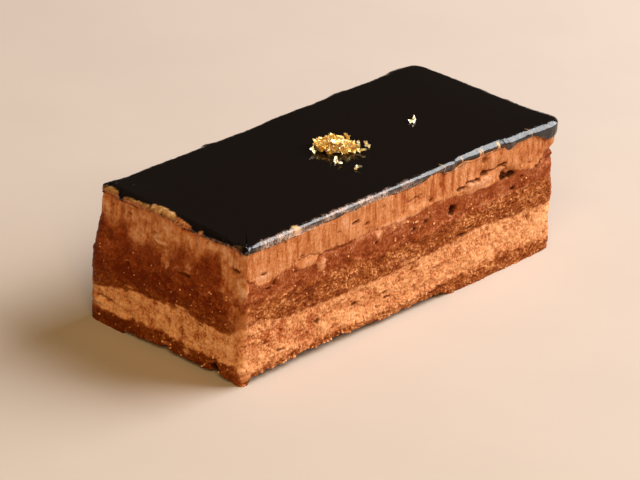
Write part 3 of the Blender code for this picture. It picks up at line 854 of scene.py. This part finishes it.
def wiped_share(points, insets, torn):
    """How much cream was wiped onto the rim, along the left end and in drag marks on the front."""
    flecks = smooth(2.2 * fractal(points, 0.8, 3, seed=46) - 0.9)
    rough = 0.16 * torn + 0.16 * fractal(points, 0.9, 3, seed=55)
    wear = smooth((WIPE + rough - insets) / 0.45 + 0.5) * ON_SIDE[LEFT]
    for along, half, strength in NICKS:
        nick = smooth(1.6 - 1.6 * np.abs(ALONG[LEFT] + 0.4 * torn - along) / half) * (torn > -0.2)
        wear = wear * (1 - 0.8 * strength * nick)
    wear = wear * (1 - 0.8 * flecks) * (1 - 0.9 * CORNER_LUMPS * (torn > -0.35))
    lean = 0.35 * (insets - 1.0) + 0.25 * torn
    short = smooth((2.1 - insets + 0.5 * torn) / 0.7)
    for along, width, strength in DRAG_MARKS:
        line = smooth(1.5 - np.abs(ALONG[FRONT] + lean - along) / width)
        wear = np.maximum(wear, strength * line * short * ON_SIDE[FRONT])
    rows = np.arange(len(points))[:, None]
    crust = smooth(2.6 * fractal(points, 0.8, 3, seed=56) - 0.1) * smooth((STEEP_END - 1.0 - rows) / 2.0)
    wear = np.maximum(wear, 0.85 * crust * ON_SIDE[LEFT] * ramp(ALONG[LEFT], 27.0, 30.0))
    return np.clip(wear, 0, 1)


def film_and_highlight(points, past, torn):
    """How strongly a thin pale film dulls the front's highlight, on its left half. The film is partly a smear
    of cream and partly a painted highlight, whose pale colour widens and warms the highlight band.
    """
    smear = fractal(points, 2.6, 3, seed=52, stretch=(1.5, 1, 1))
    film_highlight = ramp(-ALONG[FRONT], -64.0, -46.0) * ramp(ALONG[FRONT], 2.6, 4.5) * smooth(0.60 + 0.9 * smear)
    film_highlight = film_highlight * ON_SIDE[FRONT] * smooth((0.75 + 0.45 * torn - past) / 0.7) * smooth((past + 1.35) / 0.5)
    return np.clip(film_highlight, 0, 1)


def make_glaze():
    """The poured glaze, with a level top, a rounded edge and a thin uneven rim over the cream."""
    rings, hang, end = glaze_rings(OUTLINE.at(0.0))
    insets = rings[:, 0] - np.minimum(rings[:, 1], 0)
    points = np.array([OUTLINE.at(z, inset) + OUT3 * out[:, None] for inset, out, z in rings])
    points[..., 2] -= top_sag(points) * smooth((points[..., 2] - hang) / 0.8)
    on_edge = smooth((end + 1.0 - insets) / 0.6) * smooth((points[..., 2] - hang) / 0.1)

    # The edge is soft and a little uneven along its run; where it is wiped it is lumpier.
    nicks = 0.050 * fractal(points, 1.4, 2, seed=47) + 0.05 * fractal(points, 4.0, 2, seed=49)
    nicks += 0.020 * fractal(points, 0.55, 2, seed=48)
    lumps = WIPED * (0.08 * fractal(points, 3.2, 3, seed=50) + 0.02 * fractal(points, 0.9, 2, seed=51))
    lumps += CORNER_LUMPS * (0.28 * fractal(points, 1.5, 2, seed=54) + 0.10)
    points += OUT3 * (on_edge * (nicks + lumps))[..., None]
    points[..., 2] += on_edge * (0.5 * np.minimum(nicks, 0.03) + 0.7 * CORNER_LUMPS * np.minimum(lumps, 0))
    points[..., 2] = np.minimum(points[..., 2], GLAZE_TOP + 0.02)

    obj = make_object("mirror_glaze", points.reshape(-1, 3), loft_faces(len(points), COUNT))
    torn = fractal(points, 1.8, 3, seed=45)
    # Painted light: with the front's share added below, the wiped cream is lighter along the lit front. It is
    # darker near the rim's outer edge.
    lit = 0.45 * torn + 0.35 * fractal(points, 0.8, 2, seed=53) - 0.7 * smooth((0.9 - insets) / 0.9)
    rows = np.arange(len(points))[:, None]
    dry = ON_SIDE[FRONT] * ramp(-ALONG[FRONT], -97.0, -94.0) * ramp(ALONG[FRONT], 2.0, 4.0)
    masks = {
        "wear": wiped_share(points, insets, torn),
        "film_highlight": film_and_highlight(points, insets - end, torn),
        "tone": lit + 0.8 * ON_SIDE[FRONT],
        "edge": on_edge,
        "low": np.maximum(smooth((STEEP_END - rows + 1.5 * torn) / 2.0), ORANGE_WIPE),
        "dry": np.broadcast_to(dry, insets.shape),
    }
    for title, values in masks.items():
        add_attribute(obj, title, values)
    return obj


# ---- gold leaf

GOLD_PLACE = np.array((-0.3, 0.6, GLAZE_TOP))
GOLD_HALF = (5.0, 3.2)
GOLD_HEIGHT = 2.6
GOLD_TURN = math.radians(-50.0)
GOLD_FLAKES = 170
# Upright scraps on the tuft: place, size.
UPRIGHT_FLAKES = (((3.2, -0.1, 1.9), 1.1), ((-2.7, 3.2, 1.3), 0.9), ((-1.3, 1.2, 2.0), 0.8))
# Loose scraps: place, half size.
LOOSE_FLAKES = (
    (-5.9, -5.1, 1.05), (-5.0, -10.6, 0.75), (25.5, -1.5, 0.95), (2.7, -4.8, 0.75), (5.1, -2.0, 0.7),
    (6.3, -3.7, 0.8), (-6.3, 2.0, 0.8),
)


def flake(draw, size, crumple):
    """Points and faces of one crumpled, torn scrap of leaf, flat at the origin, closed and very thin."""
    cells = 6
    along = np.linspace(-1, 1, cells + 1)
    u, v = np.meshgrid(along, along, indexing="ij")
    grid = np.stack([u, v, np.zeros_like(u)], -1)
    grid[..., :2] += draw.uniform(-0.5, 0.5, grid.shape[:2] + (2,)) / cells
    turn = np.arctan2(v, u)
    lobes = draw.uniform(0, 2 * math.pi, 3)
    lobe_rows = zip((0.30, 0.22, 0.16), (2, 3, 7), lobes)
    torn = sum(depth * np.sin(number * turn + start) for depth, number, start in lobe_rows)
    grid[..., :2] *= (0.72 + torn)[..., None]
    grid[..., 2] = crumple * fractal(grid + draw.uniform(0, 50, 3), 1.1, 3)
    grid *= size
    thick = np.array((0, 0, 0.02))
    points = np.concatenate([(grid + thick).reshape(-1, 3), (grid - thick).reshape(-1, 3)])
    n = cells + 1
    index = np.arange(n * n).reshape(n, n)
    faces = []
    for i in range(cells):
        for j in range(cells):
            quad = [index[i, j], index[i + 1, j], index[i + 1, j + 1], index[i, j + 1]]
            faces += [quad, [q + n * n for q in reversed(quad)]]
    rim = list(index[0, :-1]) + list(index[:-1, -1]) + list(index[-1, :0:-1]) + list(index[:0:-1, 0])
    for a, b in zip(rim, rim[1:] + rim[:1]):
        faces.append([a, b, b + n * n, a + n * n])
    return points, [[int(i) for i in face] for face in faces]


def join_parts(name, parts):
    points, faces, start = [], [], 0
    for part_points, part_faces in parts:
        points.append(part_points)
        faces += [[i + start for i in face] for face in part_faces]
        start += len(part_points)
    return make_object(name, np.concatenate(points), faces, smooth_shading=False)


def turned(points, turn, tilt, lean):
    spin = Matrix.Rotation(turn, 3, "Z") @ Matrix.Rotation(tilt, 3, "X") @ Matrix.Rotation(lean, 3, "Y")
    return points @ np.array(spin).T


def make_gold_tuft():
    """The crumpled tuft: scraps of leaf standing and lying in a low heap."""
    draw = np.random.RandomState(5)
    parts = []
    cos_turn, sin_turn = math.cos(GOLD_TURN), math.sin(GOLD_TURN)
    for _ in range(GOLD_FLAKES):
        reach = math.sqrt(draw.uniform(0, 1)) * 0.95
        angle = draw.uniform(0, 2 * math.pi)
        u, v = GOLD_HALF[0] * reach * math.cos(angle), GOLD_HALF[1] * reach * math.sin(angle)
        height = GOLD_HEIGHT * (1 - reach**3) * draw.uniform(0.10, 0.90)
        points, faces = flake(draw, draw.uniform(0.45, 1.25), draw.uniform(0.25, 0.7))
        points = turned(points, draw.uniform(0, 2 * math.pi), draw.normal(0, 0.9), draw.normal(0, 0.6))
        place = np.array((u * cos_turn - v * sin_turn, u * sin_turn + v * cos_turn, height + 0.25))
        points = points + place + GOLD_PLACE
        points[:, 2] = np.maximum(points[:, 2], GLAZE_TOP + 0.03)
        parts.append((points, faces))
    for place, size in UPRIGHT_FLAKES:
        points, faces = flake(draw, size, 0.35)
        points = turned(points, draw.uniform(0, 2 * math.pi), 1.3, draw.normal(0, 0.2))
        parts.append((points + place + (0, 0, GLAZE_TOP), faces))
    return join_parts("gold_tuft", parts)


def make_loose_leaf():
    """Single scraps of leaf lying on the glaze round the tuft."""
    draw = np.random.RandomState(9)
    parts = []
    for x, y, size in LOOSE_FLAKES:
        points, faces = flake(draw, size, 0.35)
        points = turned(points, draw.uniform(0, 6), 0, 0)
        points = turned(points, GOLD_TURN, draw.normal(0.75, 0.20), draw.normal(0, 0.2))
        points[:, 2] += GLAZE_TOP + 0.03 - points[:, 2].min()
        parts.append((points + (x, y, 0), faces))
    return join_parts("loose_leaf", parts)


# ---- loose crumbs

# Crumbs that cling to the cut sides, by side: along from and to, height from and to, count, half sizes.
CRUMB_BANDS = {
    FRONT: (
        (2, 108, 13, 22.5, 70, 0.18, 0.34), (1, 72, 1.2, 4.5, 60, 0.2, 0.42),
        (34, 37.5, 16.2, 17.6, 12, 0.28, 0.5), (50, 66, 20.5, 24.5, 14, 0.22, 0.42),
        (72, 108, 25, 29.5, 18, 0.18, 0.36), (2, 60, 23.5, 25.5, 12, 0.16, 0.3),
    ),
    LEFT: (
        (2, 45, 3.6, 5.2, 26, 0.18, 0.36), (2, 44, 13, 21, 34, 0.14, 0.26),
        (2, 45, 0.8, 3, 20, 0.18, 0.34),
    ),
    RIGHT: ((2, 44, 1, 22, 40, 0.18, 0.36),), BACK: ((3, 108, 1, 22, 80, 0.18, 0.36),),
}
CRUMB_SIDES, CRUMB_RINGS = 7, 5


def crumb_grain(draw, size):
    """Points and faces of one small uneven grain round the origin."""
    points = [(0.0, 0.0, -1.0)]
    for ring in range(1, CRUMB_RINGS):
        lean = math.pi * ring / CRUMB_RINGS
        for step in range(CRUMB_SIDES):
            turn = 2 * math.pi * step / CRUMB_SIDES
            points.append((math.sin(lean) * math.cos(turn), math.sin(lean) * math.sin(turn), -math.cos(lean)))
    points.append((0.0, 0.0, 1.0))
    last = len(points) - 1
    faces = []
    for step in range(CRUMB_SIDES):
        after = (step + 1) % CRUMB_SIDES
        faces += [[0, 1 + after, 1 + step], [last, last - CRUMB_SIDES + step, last - CRUMB_SIDES + after]]
        for ring in range(CRUMB_RINGS - 2):
            low, high = 1 + ring * CRUMB_SIDES, 1 + (ring + 1) * CRUMB_SIDES
            faces.append([low + step, low + after, high + after, high + step])
    points = np.array(points)
    points *= 1 + 0.45 * fractal(points + draw.uniform(0, 50, 3), 0.9, 2)[:, None]
    return points * size * draw.uniform(0.65, 1.15, 3), faces


def make_crumbs():
    """Small crumbs that cling to the cut sides and their ragged edges."""
    draw = np.random.RandomState(21)
    parts = []
    for side, (start, end, low, high, count, smallest, largest) in listed(CRUMB_BANDS):
        along = draw.uniform(start, end, count)
        column = np.array([np.argmin(np.abs(ALONG[side] - a) + 99 * (ON_SIDE[side] < 0.5)) for a in along])
        z = np.maximum(draw.uniform(low, high, count), EDGES[0][column] + 0.15)
        points = np.concatenate([OUTLINE.points[column], z[:, None]], 1)
        relief = cut_surface(points, column)[0]
        places = points + OUT3[column] * (relief + 0.06)[:, None]
        for place in places:
            grain, faces = crumb_grain(draw, smallest + (largest - smallest) * draw.uniform(0, 1) ** 2)
            parts.append((turned(grain, *draw.uniform(0, 6, 3)) + place, faces))
    return join_parts("loose_crumbs", parts)


# ---- material helpers


class Tree:
    """A material's nodes, added one by one."""

    def __init__(self, name):
        self.material = bpy.data.materials.new(name)
        self.material.use_nodes = True
        self.nodes, self.links = self.material.node_tree.nodes, self.material.node_tree.links
        self.shader = self.nodes["Principled BSDF"]
        coordinates = self.nodes.new("ShaderNodeTexCoord").outputs["Object"]
        self.place = self.node("VectorMath", 0, {0: coordinates, "Scale": 1 / MM}, operation="SCALE")

    def node(self, kind, output, sockets, **settings):
        """Adds a node, with values or other nodes' outputs for its sockets, and gives one output."""
        node = self.nodes.new("ShaderNode" + kind)
        for title, value in settings.items():
            setattr(node, title, value)
        for socket, value in sockets.items():
            self.feed(node.inputs[socket], value)
        return node.outputs[output]

    def feed(self, socket, value):
        """Sets a socket to a constant or links another node's output to it."""
        if isinstance(value, bpy.types.NodeSocket):
            self.links.new(value, socket)
        elif socket.type == "RGBA":
            socket.default_value = (*np.broadcast_to(value, 3), 1.0)
        else:
            socket.default_value = value

    def stretch(self, x, y, z):
        return self.node("VectorMath", 0, {0: self.place, 1: (x, y, z)}, operation="MULTIPLY")

    def noise(self, wavelength, detail=3.0, roughness=0.5, place=None):
        sockets = {"Vector": place or self.place, "Scale": 1 / wavelength, "Detail": detail}
        return self.node("TexNoise", "Fac", {**sockets, "Roughness": roughness})

    def cells(self, spacing):
        return self.node("TexVoronoi", "Distance", {"Vector": self.place, "Scale": 1 / spacing})

    def ramp(self, value, start, end, low=0.0, high=1.0, kind="SMOOTHSTEP"):
        sockets = {"Value": value, "From Min": start, "From Max": end, "To Min": low, "To Max": high}
        return self.node("MapRange", "Result", sockets, interpolation_type=kind)

    def math(self, operation, a, b):
        return self.node("Math", 0, {0: a, 1: b}, operation=operation)

    def times(self, a, b):
        return self.math("MULTIPLY", a, b)

    def mix(self, share, a, b):
        return self.node("Mix", 2, {"Factor": share, 6: a, 7: b}, data_type="RGBA")

    def attribute(self, name):
        return self.node("Attribute", "Fac", {}, attribute_name=name)

    def bump(self, height, distance_mm, strength, normal=None):
        sockets = {"Height": height, "Distance": distance_mm * MM, "Strength": strength}
        if normal is not None:
            sockets["Normal"] = normal
        return self.node("Bump", "Normal", sockets)

    def finish(self, colour, roughness, normal=None, **constants):
        self.feed(self.shader.inputs["Base Color"], colour)
        self.feed(self.shader.inputs["Roughness"], roughness)
        if normal is not None:
            self.links.new(normal, self.shader.inputs["Normal"])
        for title, value in constants.items():
            self.shader.inputs[title.replace("_", " ")].default_value = value
        return self.material


# ---- fillings

# Dark, middle and light colour of each filling, and how rough it is where low and where high.
SPONGE = ((0.13, 0.020, 0.002), (0.30, 0.075, 0.012), (0.66, 0.29, 0.115), 0.40, 0.70)
CREAM = ((0.33, 0.060, 0.010), (0.70, 0.300, 0.122), (0.92, 0.48, 0.24), 0.52, 0.72)
GANACHE_MIX = ((0.13, 0.017, 0.001), (0.275, 0.056, 0.010), (0.54, 0.205, 0.095), 0.44, 0.62)
CARAMEL = ((0.28, 0.048, 0.006), (0.545, 0.200, 0.068), (0.74, 0.385, 0.225), 0.46, 0.64)
WIPED_RIM = ((0.16, 0.045, 0.010), (0.54, 0.27, 0.090), (0.80, 0.52, 0.25), 0.46, 0.64)
# Pale film: partly a smear of cream, partly a painted highlight on the front edge.
PALE_FILM_HIGHLIGHT = (0.60, 0.40, 0.31)
DULL_BROWN = (0.10, 0.042, 0.016)
# Painted shade: dark colours that fill the pits, holes and cracks of the cut side.
PIT_SHADE_BROWN = (0.040, 0.009, 0.002)
CREAM_PIT_SHADE = (0.12, 0.026, 0.004)
GLAZE_BLACK = (0.007, 0.0042, 0.003)
GOLD = (1.0, 0.68, 0.17)
PALE_GOLD = (1.0, 0.86, 0.58)
# Painted highlight: the colour of sparkles on wet crumbs.
SPARKLE_HIGHLIGHT = (0.98, 0.62, 0.36)


def filling_look(tree, filling, value):
    """Colour and roughness of a filling for a value from 0, its dark parts, to 1, its light ones."""
    dark, middle, light, low_rough, high_rough = filling
    colour = tree.mix(tree.ramp(value, 0.0, 0.5, kind="LINEAR"), dark, middle)
    colour = tree.mix(tree.ramp(value, 0.5, 1.0, kind="LINEAR"), colour, light)
    return colour, tree.ramp(value, 0.1, 0.9, low_rough, high_rough)


def toned(tree, grain, contrast, tone, weight):
    """Where between dark and light a point is, from fine grain and the tone stored on the mesh."""
    spread = tree.times(tree.math("SUBTRACT", grain, 0.5), contrast)
    return tree.math("ADD", tree.math("ADD", spread, 0.5), tree.times(tone, weight))


def cut_look(tree):
    """Colour, roughness and fine height of the cut side, where the fillings lie over each other."""
    tone = tree.attribute("tone")
    crumb = tree.noise(0.55, 4.0, 0.65, place=tree.stretch(0.7, 0.7, 1.2))
    chips = tree.noise(0.55, 5.0, 0.65)
    streaks = tree.noise(0.85, 4.0, 0.55, place=tree.stretch(1, 1, 0.20))
    colour, roughness = filling_look(tree, SPONGE, toned(tree, crumb, 2.4, tone, 0.36))
    height = crumb
    rows = (
        ("cream", CREAM, toned(tree, chips, 2.1, tone, 0.40), chips),
        ("ganache", GANACHE_MIX, toned(tree, chips, 1.6, tone, 0.36), chips),
        ("caramel", CARAMEL, toned(tree, tree.mix(0.5, streaks, chips), 1.8, tone, 0.36), chips),
    )
    for mask, filling, value, grain in rows:
        share = tree.attribute(mask)
        other, other_roughness = filling_look(tree, filling, value)
        colour = tree.mix(share, colour, other)
        roughness = tree.mix(share, roughness, other_roughness)
        height = tree.mix(share, height, grain)
    return colour, roughness, height


def cut_material(name, sparkle):
    """The finish of one layer's cut side, with the sparkle of wet crumbs painted in as light specks where the
    sponge shows.
    """
    tree = Tree(name)
    colour, roughness, height = cut_look(tree)
    # Painted highlights: light specks that stand for the sparkle of wet crumbs.
    specks = tree.ramp(tree.cells(0.60), 0.20, 0.10)
    chosen = tree.ramp(tree.noise(1.3, 1.0), 0.52, 0.62)
    bare = tree.times(tree.attribute("crumbs"), sparkle)
    specks = tree.times(tree.times(specks, chosen), bare)
    colour = tree.mix(specks, colour, SPARKLE_HIGHLIGHT)
    shade = tree.attribute("shade")
    # Painted shade in pits, holes and cracks, less dark where they lie in cream.
    creamy = tree.math("MAXIMUM", tree.attribute("cream"), tree.attribute("caramel"))
    pit_shade = tree.mix(creamy, PIT_SHADE_BROWN, CREAM_PIT_SHADE)
    colour = tree.mix(shade, pit_shade, colour)
    roughness = tree.mix(shade, 0.9, roughness)
    normal = tree.bump(height, 0.20, 0.9)
    return tree.finish(colour, roughness, normal, Specular_IOR_Level=0.05)


def glaze_material():
    """Near-black mirror glaze, thinned and wiped with cream where its rim is worn."""
    tree = Tree("mirror_glaze")
    wear = tree.attribute("wear")
    edge = tree.attribute("edge")
    streaks = tree.noise(0.40, 4.0, 0.6, place=tree.stretch(1, 1, 0.25))
    value = toned(tree, streaks, 1.2, tree.attribute("tone"), 0.5)
    cream, cream_roughness = filling_look(tree, WIPED_RIM, value)
    under, _ = filling_look(tree, CARAMEL, value)
    cream = tree.mix(tree.attribute("low"), cream, under)
    specks = tree.ramp(tree.cells(2.6), 0.045, 0.02)
    colour = tree.mix(tree.times(specks, 0.25), GLAZE_BLACK, (0.20, 0.12, 0.08))
    low = tree.attribute("low")
    blotch = tree.ramp(tree.noise(1.6, 3.0, 0.6, place=tree.stretch(0.6, 0.6, 1)), 0.40, 0.58)
    dull = tree.times(tree.times(low, tree.attribute("dry")), blotch)
    colour = tree.mix(tree.times(dull, tree.ramp(streaks, 0.35, 0.60)), colour, DULL_BROWN)
    colour = tree.mix(wear, colour, cream)
    # A pale film over the front edge: partly a smear of cream, partly a painted highlight that widens and
    # warms the edge's highlight.
    wisps = tree.noise(0.55, 4.0, 0.65, place=tree.stretch(1.3, 0.45, 1))
    film_highlight = tree.times(tree.attribute("film_highlight"), tree.ramp(wisps, 0.36, 0.62, 0.0, 0.9))
    colour = tree.mix(film_highlight, colour, PALE_FILM_HIGHLIGHT)
    gloss = tree.ramp(tree.noise(9.0, 2.0), 0.3, 0.7, 0.05, 0.08)
    nicked = tree.ramp(tree.noise(1.1, 3.0, 0.5), 0.35, 0.65, 0.06, 0.30)
    gloss = tree.mix(edge, gloss, nicked)
    gloss = tree.mix(film_highlight, gloss, 0.45)
    gloss = tree.mix(dull, gloss, 0.22)
    roughness = tree.mix(wear, gloss, cream_roughness)
    normal = tree.bump(tree.times(tree.noise(0.6, 4.0, 0.6), edge), 0.05, 0.7)
    normal = tree.bump(tree.times(streaks, wear), 0.04, 0.6, normal)
    return tree.finish(colour, roughness, normal, IOR=1.48)


def crumb_material():
    """Crumbs of sponge and cream, some dark and some light."""
    tree = Tree("loose_crumbs")
    kind = tree.ramp(tree.noise(1.6, 1.0), 0.38, 0.62)
    grain = toned(tree, tree.noise(0.5, 4.0), 1.2, kind, 0.5)
    colour, roughness = filling_look(tree, SPONGE, grain)
    other, _ = filling_look(tree, CREAM, grain)
    colour = tree.mix(kind, colour, other)
    normal = tree.bump(tree.noise(0.3, 3.0), 0.05, 0.7)
    return tree.finish(colour, roughness, normal, Specular_IOR_Level=0.2)


def gold_material(name, colour):
    """Thin bright leaf, a little uneven in tone."""
    tree = Tree(name)
    tone = tree.noise(0.8, 3.0)
    mixed = tree.mix(tree.ramp(tone, 0.40, 0.68), colour, PALE_GOLD)
    normal = tree.bump(tree.noise(0.25, 3.0), 0.05, 0.5)
    return tree.finish(mixed, tree.ramp(tone, 0.3, 0.7, 0.28, 0.46), normal, Metallic=0.75)


# ---- pieces


def place_piece(obj, material, node=None):
    """Gives a piece its finish, and lets it ride on the cake and stand for its solid."""
    obj.data.materials.append(material)
    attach(obj, "root")
    if node:
        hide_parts(node)


def dress_cake():
    rows = (
        ("crumb_base", BASE, "base_sponge", "sponge", 0.30),
        ("coffee_cream_lower", LOWER_CREAM, "lower_cream", "lower_cream", 0.30),
        ("crumb_middle", MIDDLE, "middle_sponge", "sponge", 0.22),
        ("dark_ganache", GANACHE, "ganache", "ganache", 0.08),
        ("coffee_cream_upper", UPPER_CREAM, "upper_cream", "upper_cream", 0.20),
    )
    for name, layer, node, slot, sparkle in rows:
        place_piece(make_layer(name, layer), cut_material(name, sparkle), node)
    place_piece(make_crumbs(), crumb_material())
    place_piece(make_glaze(), glaze_material(), "glaze")
    place_piece(make_gold_tuft(), gold_material("gold_leaf", GOLD), "gold_leaf")
    place_piece(make_loose_leaf(), gold_material("loose_leaf", PALE_GOLD))


# ---- stage

CAMERA_PLACE = np.array((-619.75, -519.7, 397.4))
CAMERA_PITCH, CAMERA_ROLL, CAMERA_YAW = 25.58, -3.97, 49.84
FOCAL_PIXELS, FRAME_PIXELS, SENSOR = 3800.0, 640.0, 36.0
FLOOR_COLOUR = (0.60, 0.50, 0.43)
FLOOR_HALF = 3.0
WORLD_COLOUR, WORLD_STRENGTH = (1.0, 0.92, 0.84, 1.0), 0.028
# The softboxes: name, direction, distance and size in metres, watts, colour.
LIGHTS = (
    ("key", (0.69, -0.36, 0.60), 1.1, 0.9, 24.5, (0.97, 0.98, 1.0)),
    ("fill", (-0.75, -0.60, 0.75), 1.4, 0.8, 12.0, (1.0, 0.70, 0.31)),
)


def make_camera():
    """A long lens from the left front, a little above the cake, slightly rolled."""
    data = bpy.data.cameras.new("camera")
    data.sensor_width = SENSOR
    data.lens = FOCAL_PIXELS * SENSOR / FRAME_PIXELS
    data.clip_start, data.clip_end = 0.05, 20.0
    camera = add_object("camera", data)
    turn = Matrix.Rotation(math.radians(-CAMERA_YAW), 4, "Z")
    tip = Matrix.Rotation(math.radians(90.0 - CAMERA_PITCH), 4, "X")
    roll = Matrix.Rotation(math.radians(-CAMERA_ROLL), 4, "Z")
    place = Vector((CAMERA_PLACE + BLOCK_SHIFT) * MM)
    camera.matrix_world = Matrix.Translation(place) @ turn @ tip @ roll
    bpy.context.scene.camera = camera


def make_floor():
    mesh = bpy.data.meshes.new("floor")
    mesh.from_pydata([(FLOOR_HALF * x, FLOOR_HALF * y, 0) for x, y in CORNER_SIGNS], [], [(0, 1, 2, 3)])
    floor = add_object("floor", mesh)
    tree = Tree("floor")
    tone = tree.ramp(tree.noise(40.0, 3.0), 0.3, 0.7)
    colour = tree.mix(tone, FLOOR_COLOUR, tuple(0.97 * c for c in FLOOR_COLOUR))
    floor.data.materials.append(tree.finish(colour, 0.8))


def make_light(name, direction, distance, size, watts, colour):
    """A square softbox that looks at the cake from a direction."""
    data = bpy.data.lights.new(name, "AREA")
    data.size = size
    data.energy = watts
    data.color = colour
    light = add_object(name, data)
    aim = Vector(direction).normalized()
    light.location = aim * distance + Vector((0, 0, 0.5 * GLAZE_TOP * MM))
    light.rotation_euler = aim.to_track_quat("Z", "Y").to_euler()


def make_stage():
    make_floor()
    for row in LIGHTS:
        make_light(*row)
    world = bpy.data.worlds.new("world")
    world.use_nodes = True
    background = world.node_tree.nodes["Background"]
    background.inputs["Color"].default_value = WORLD_COLOUR
    background.inputs["Strength"].default_value = WORLD_STRENGTH
    bpy.context.scene.world = world
    bpy.context.scene.view_settings.view_transform = "Standard"


dress_cake()
make_camera()
make_stage()
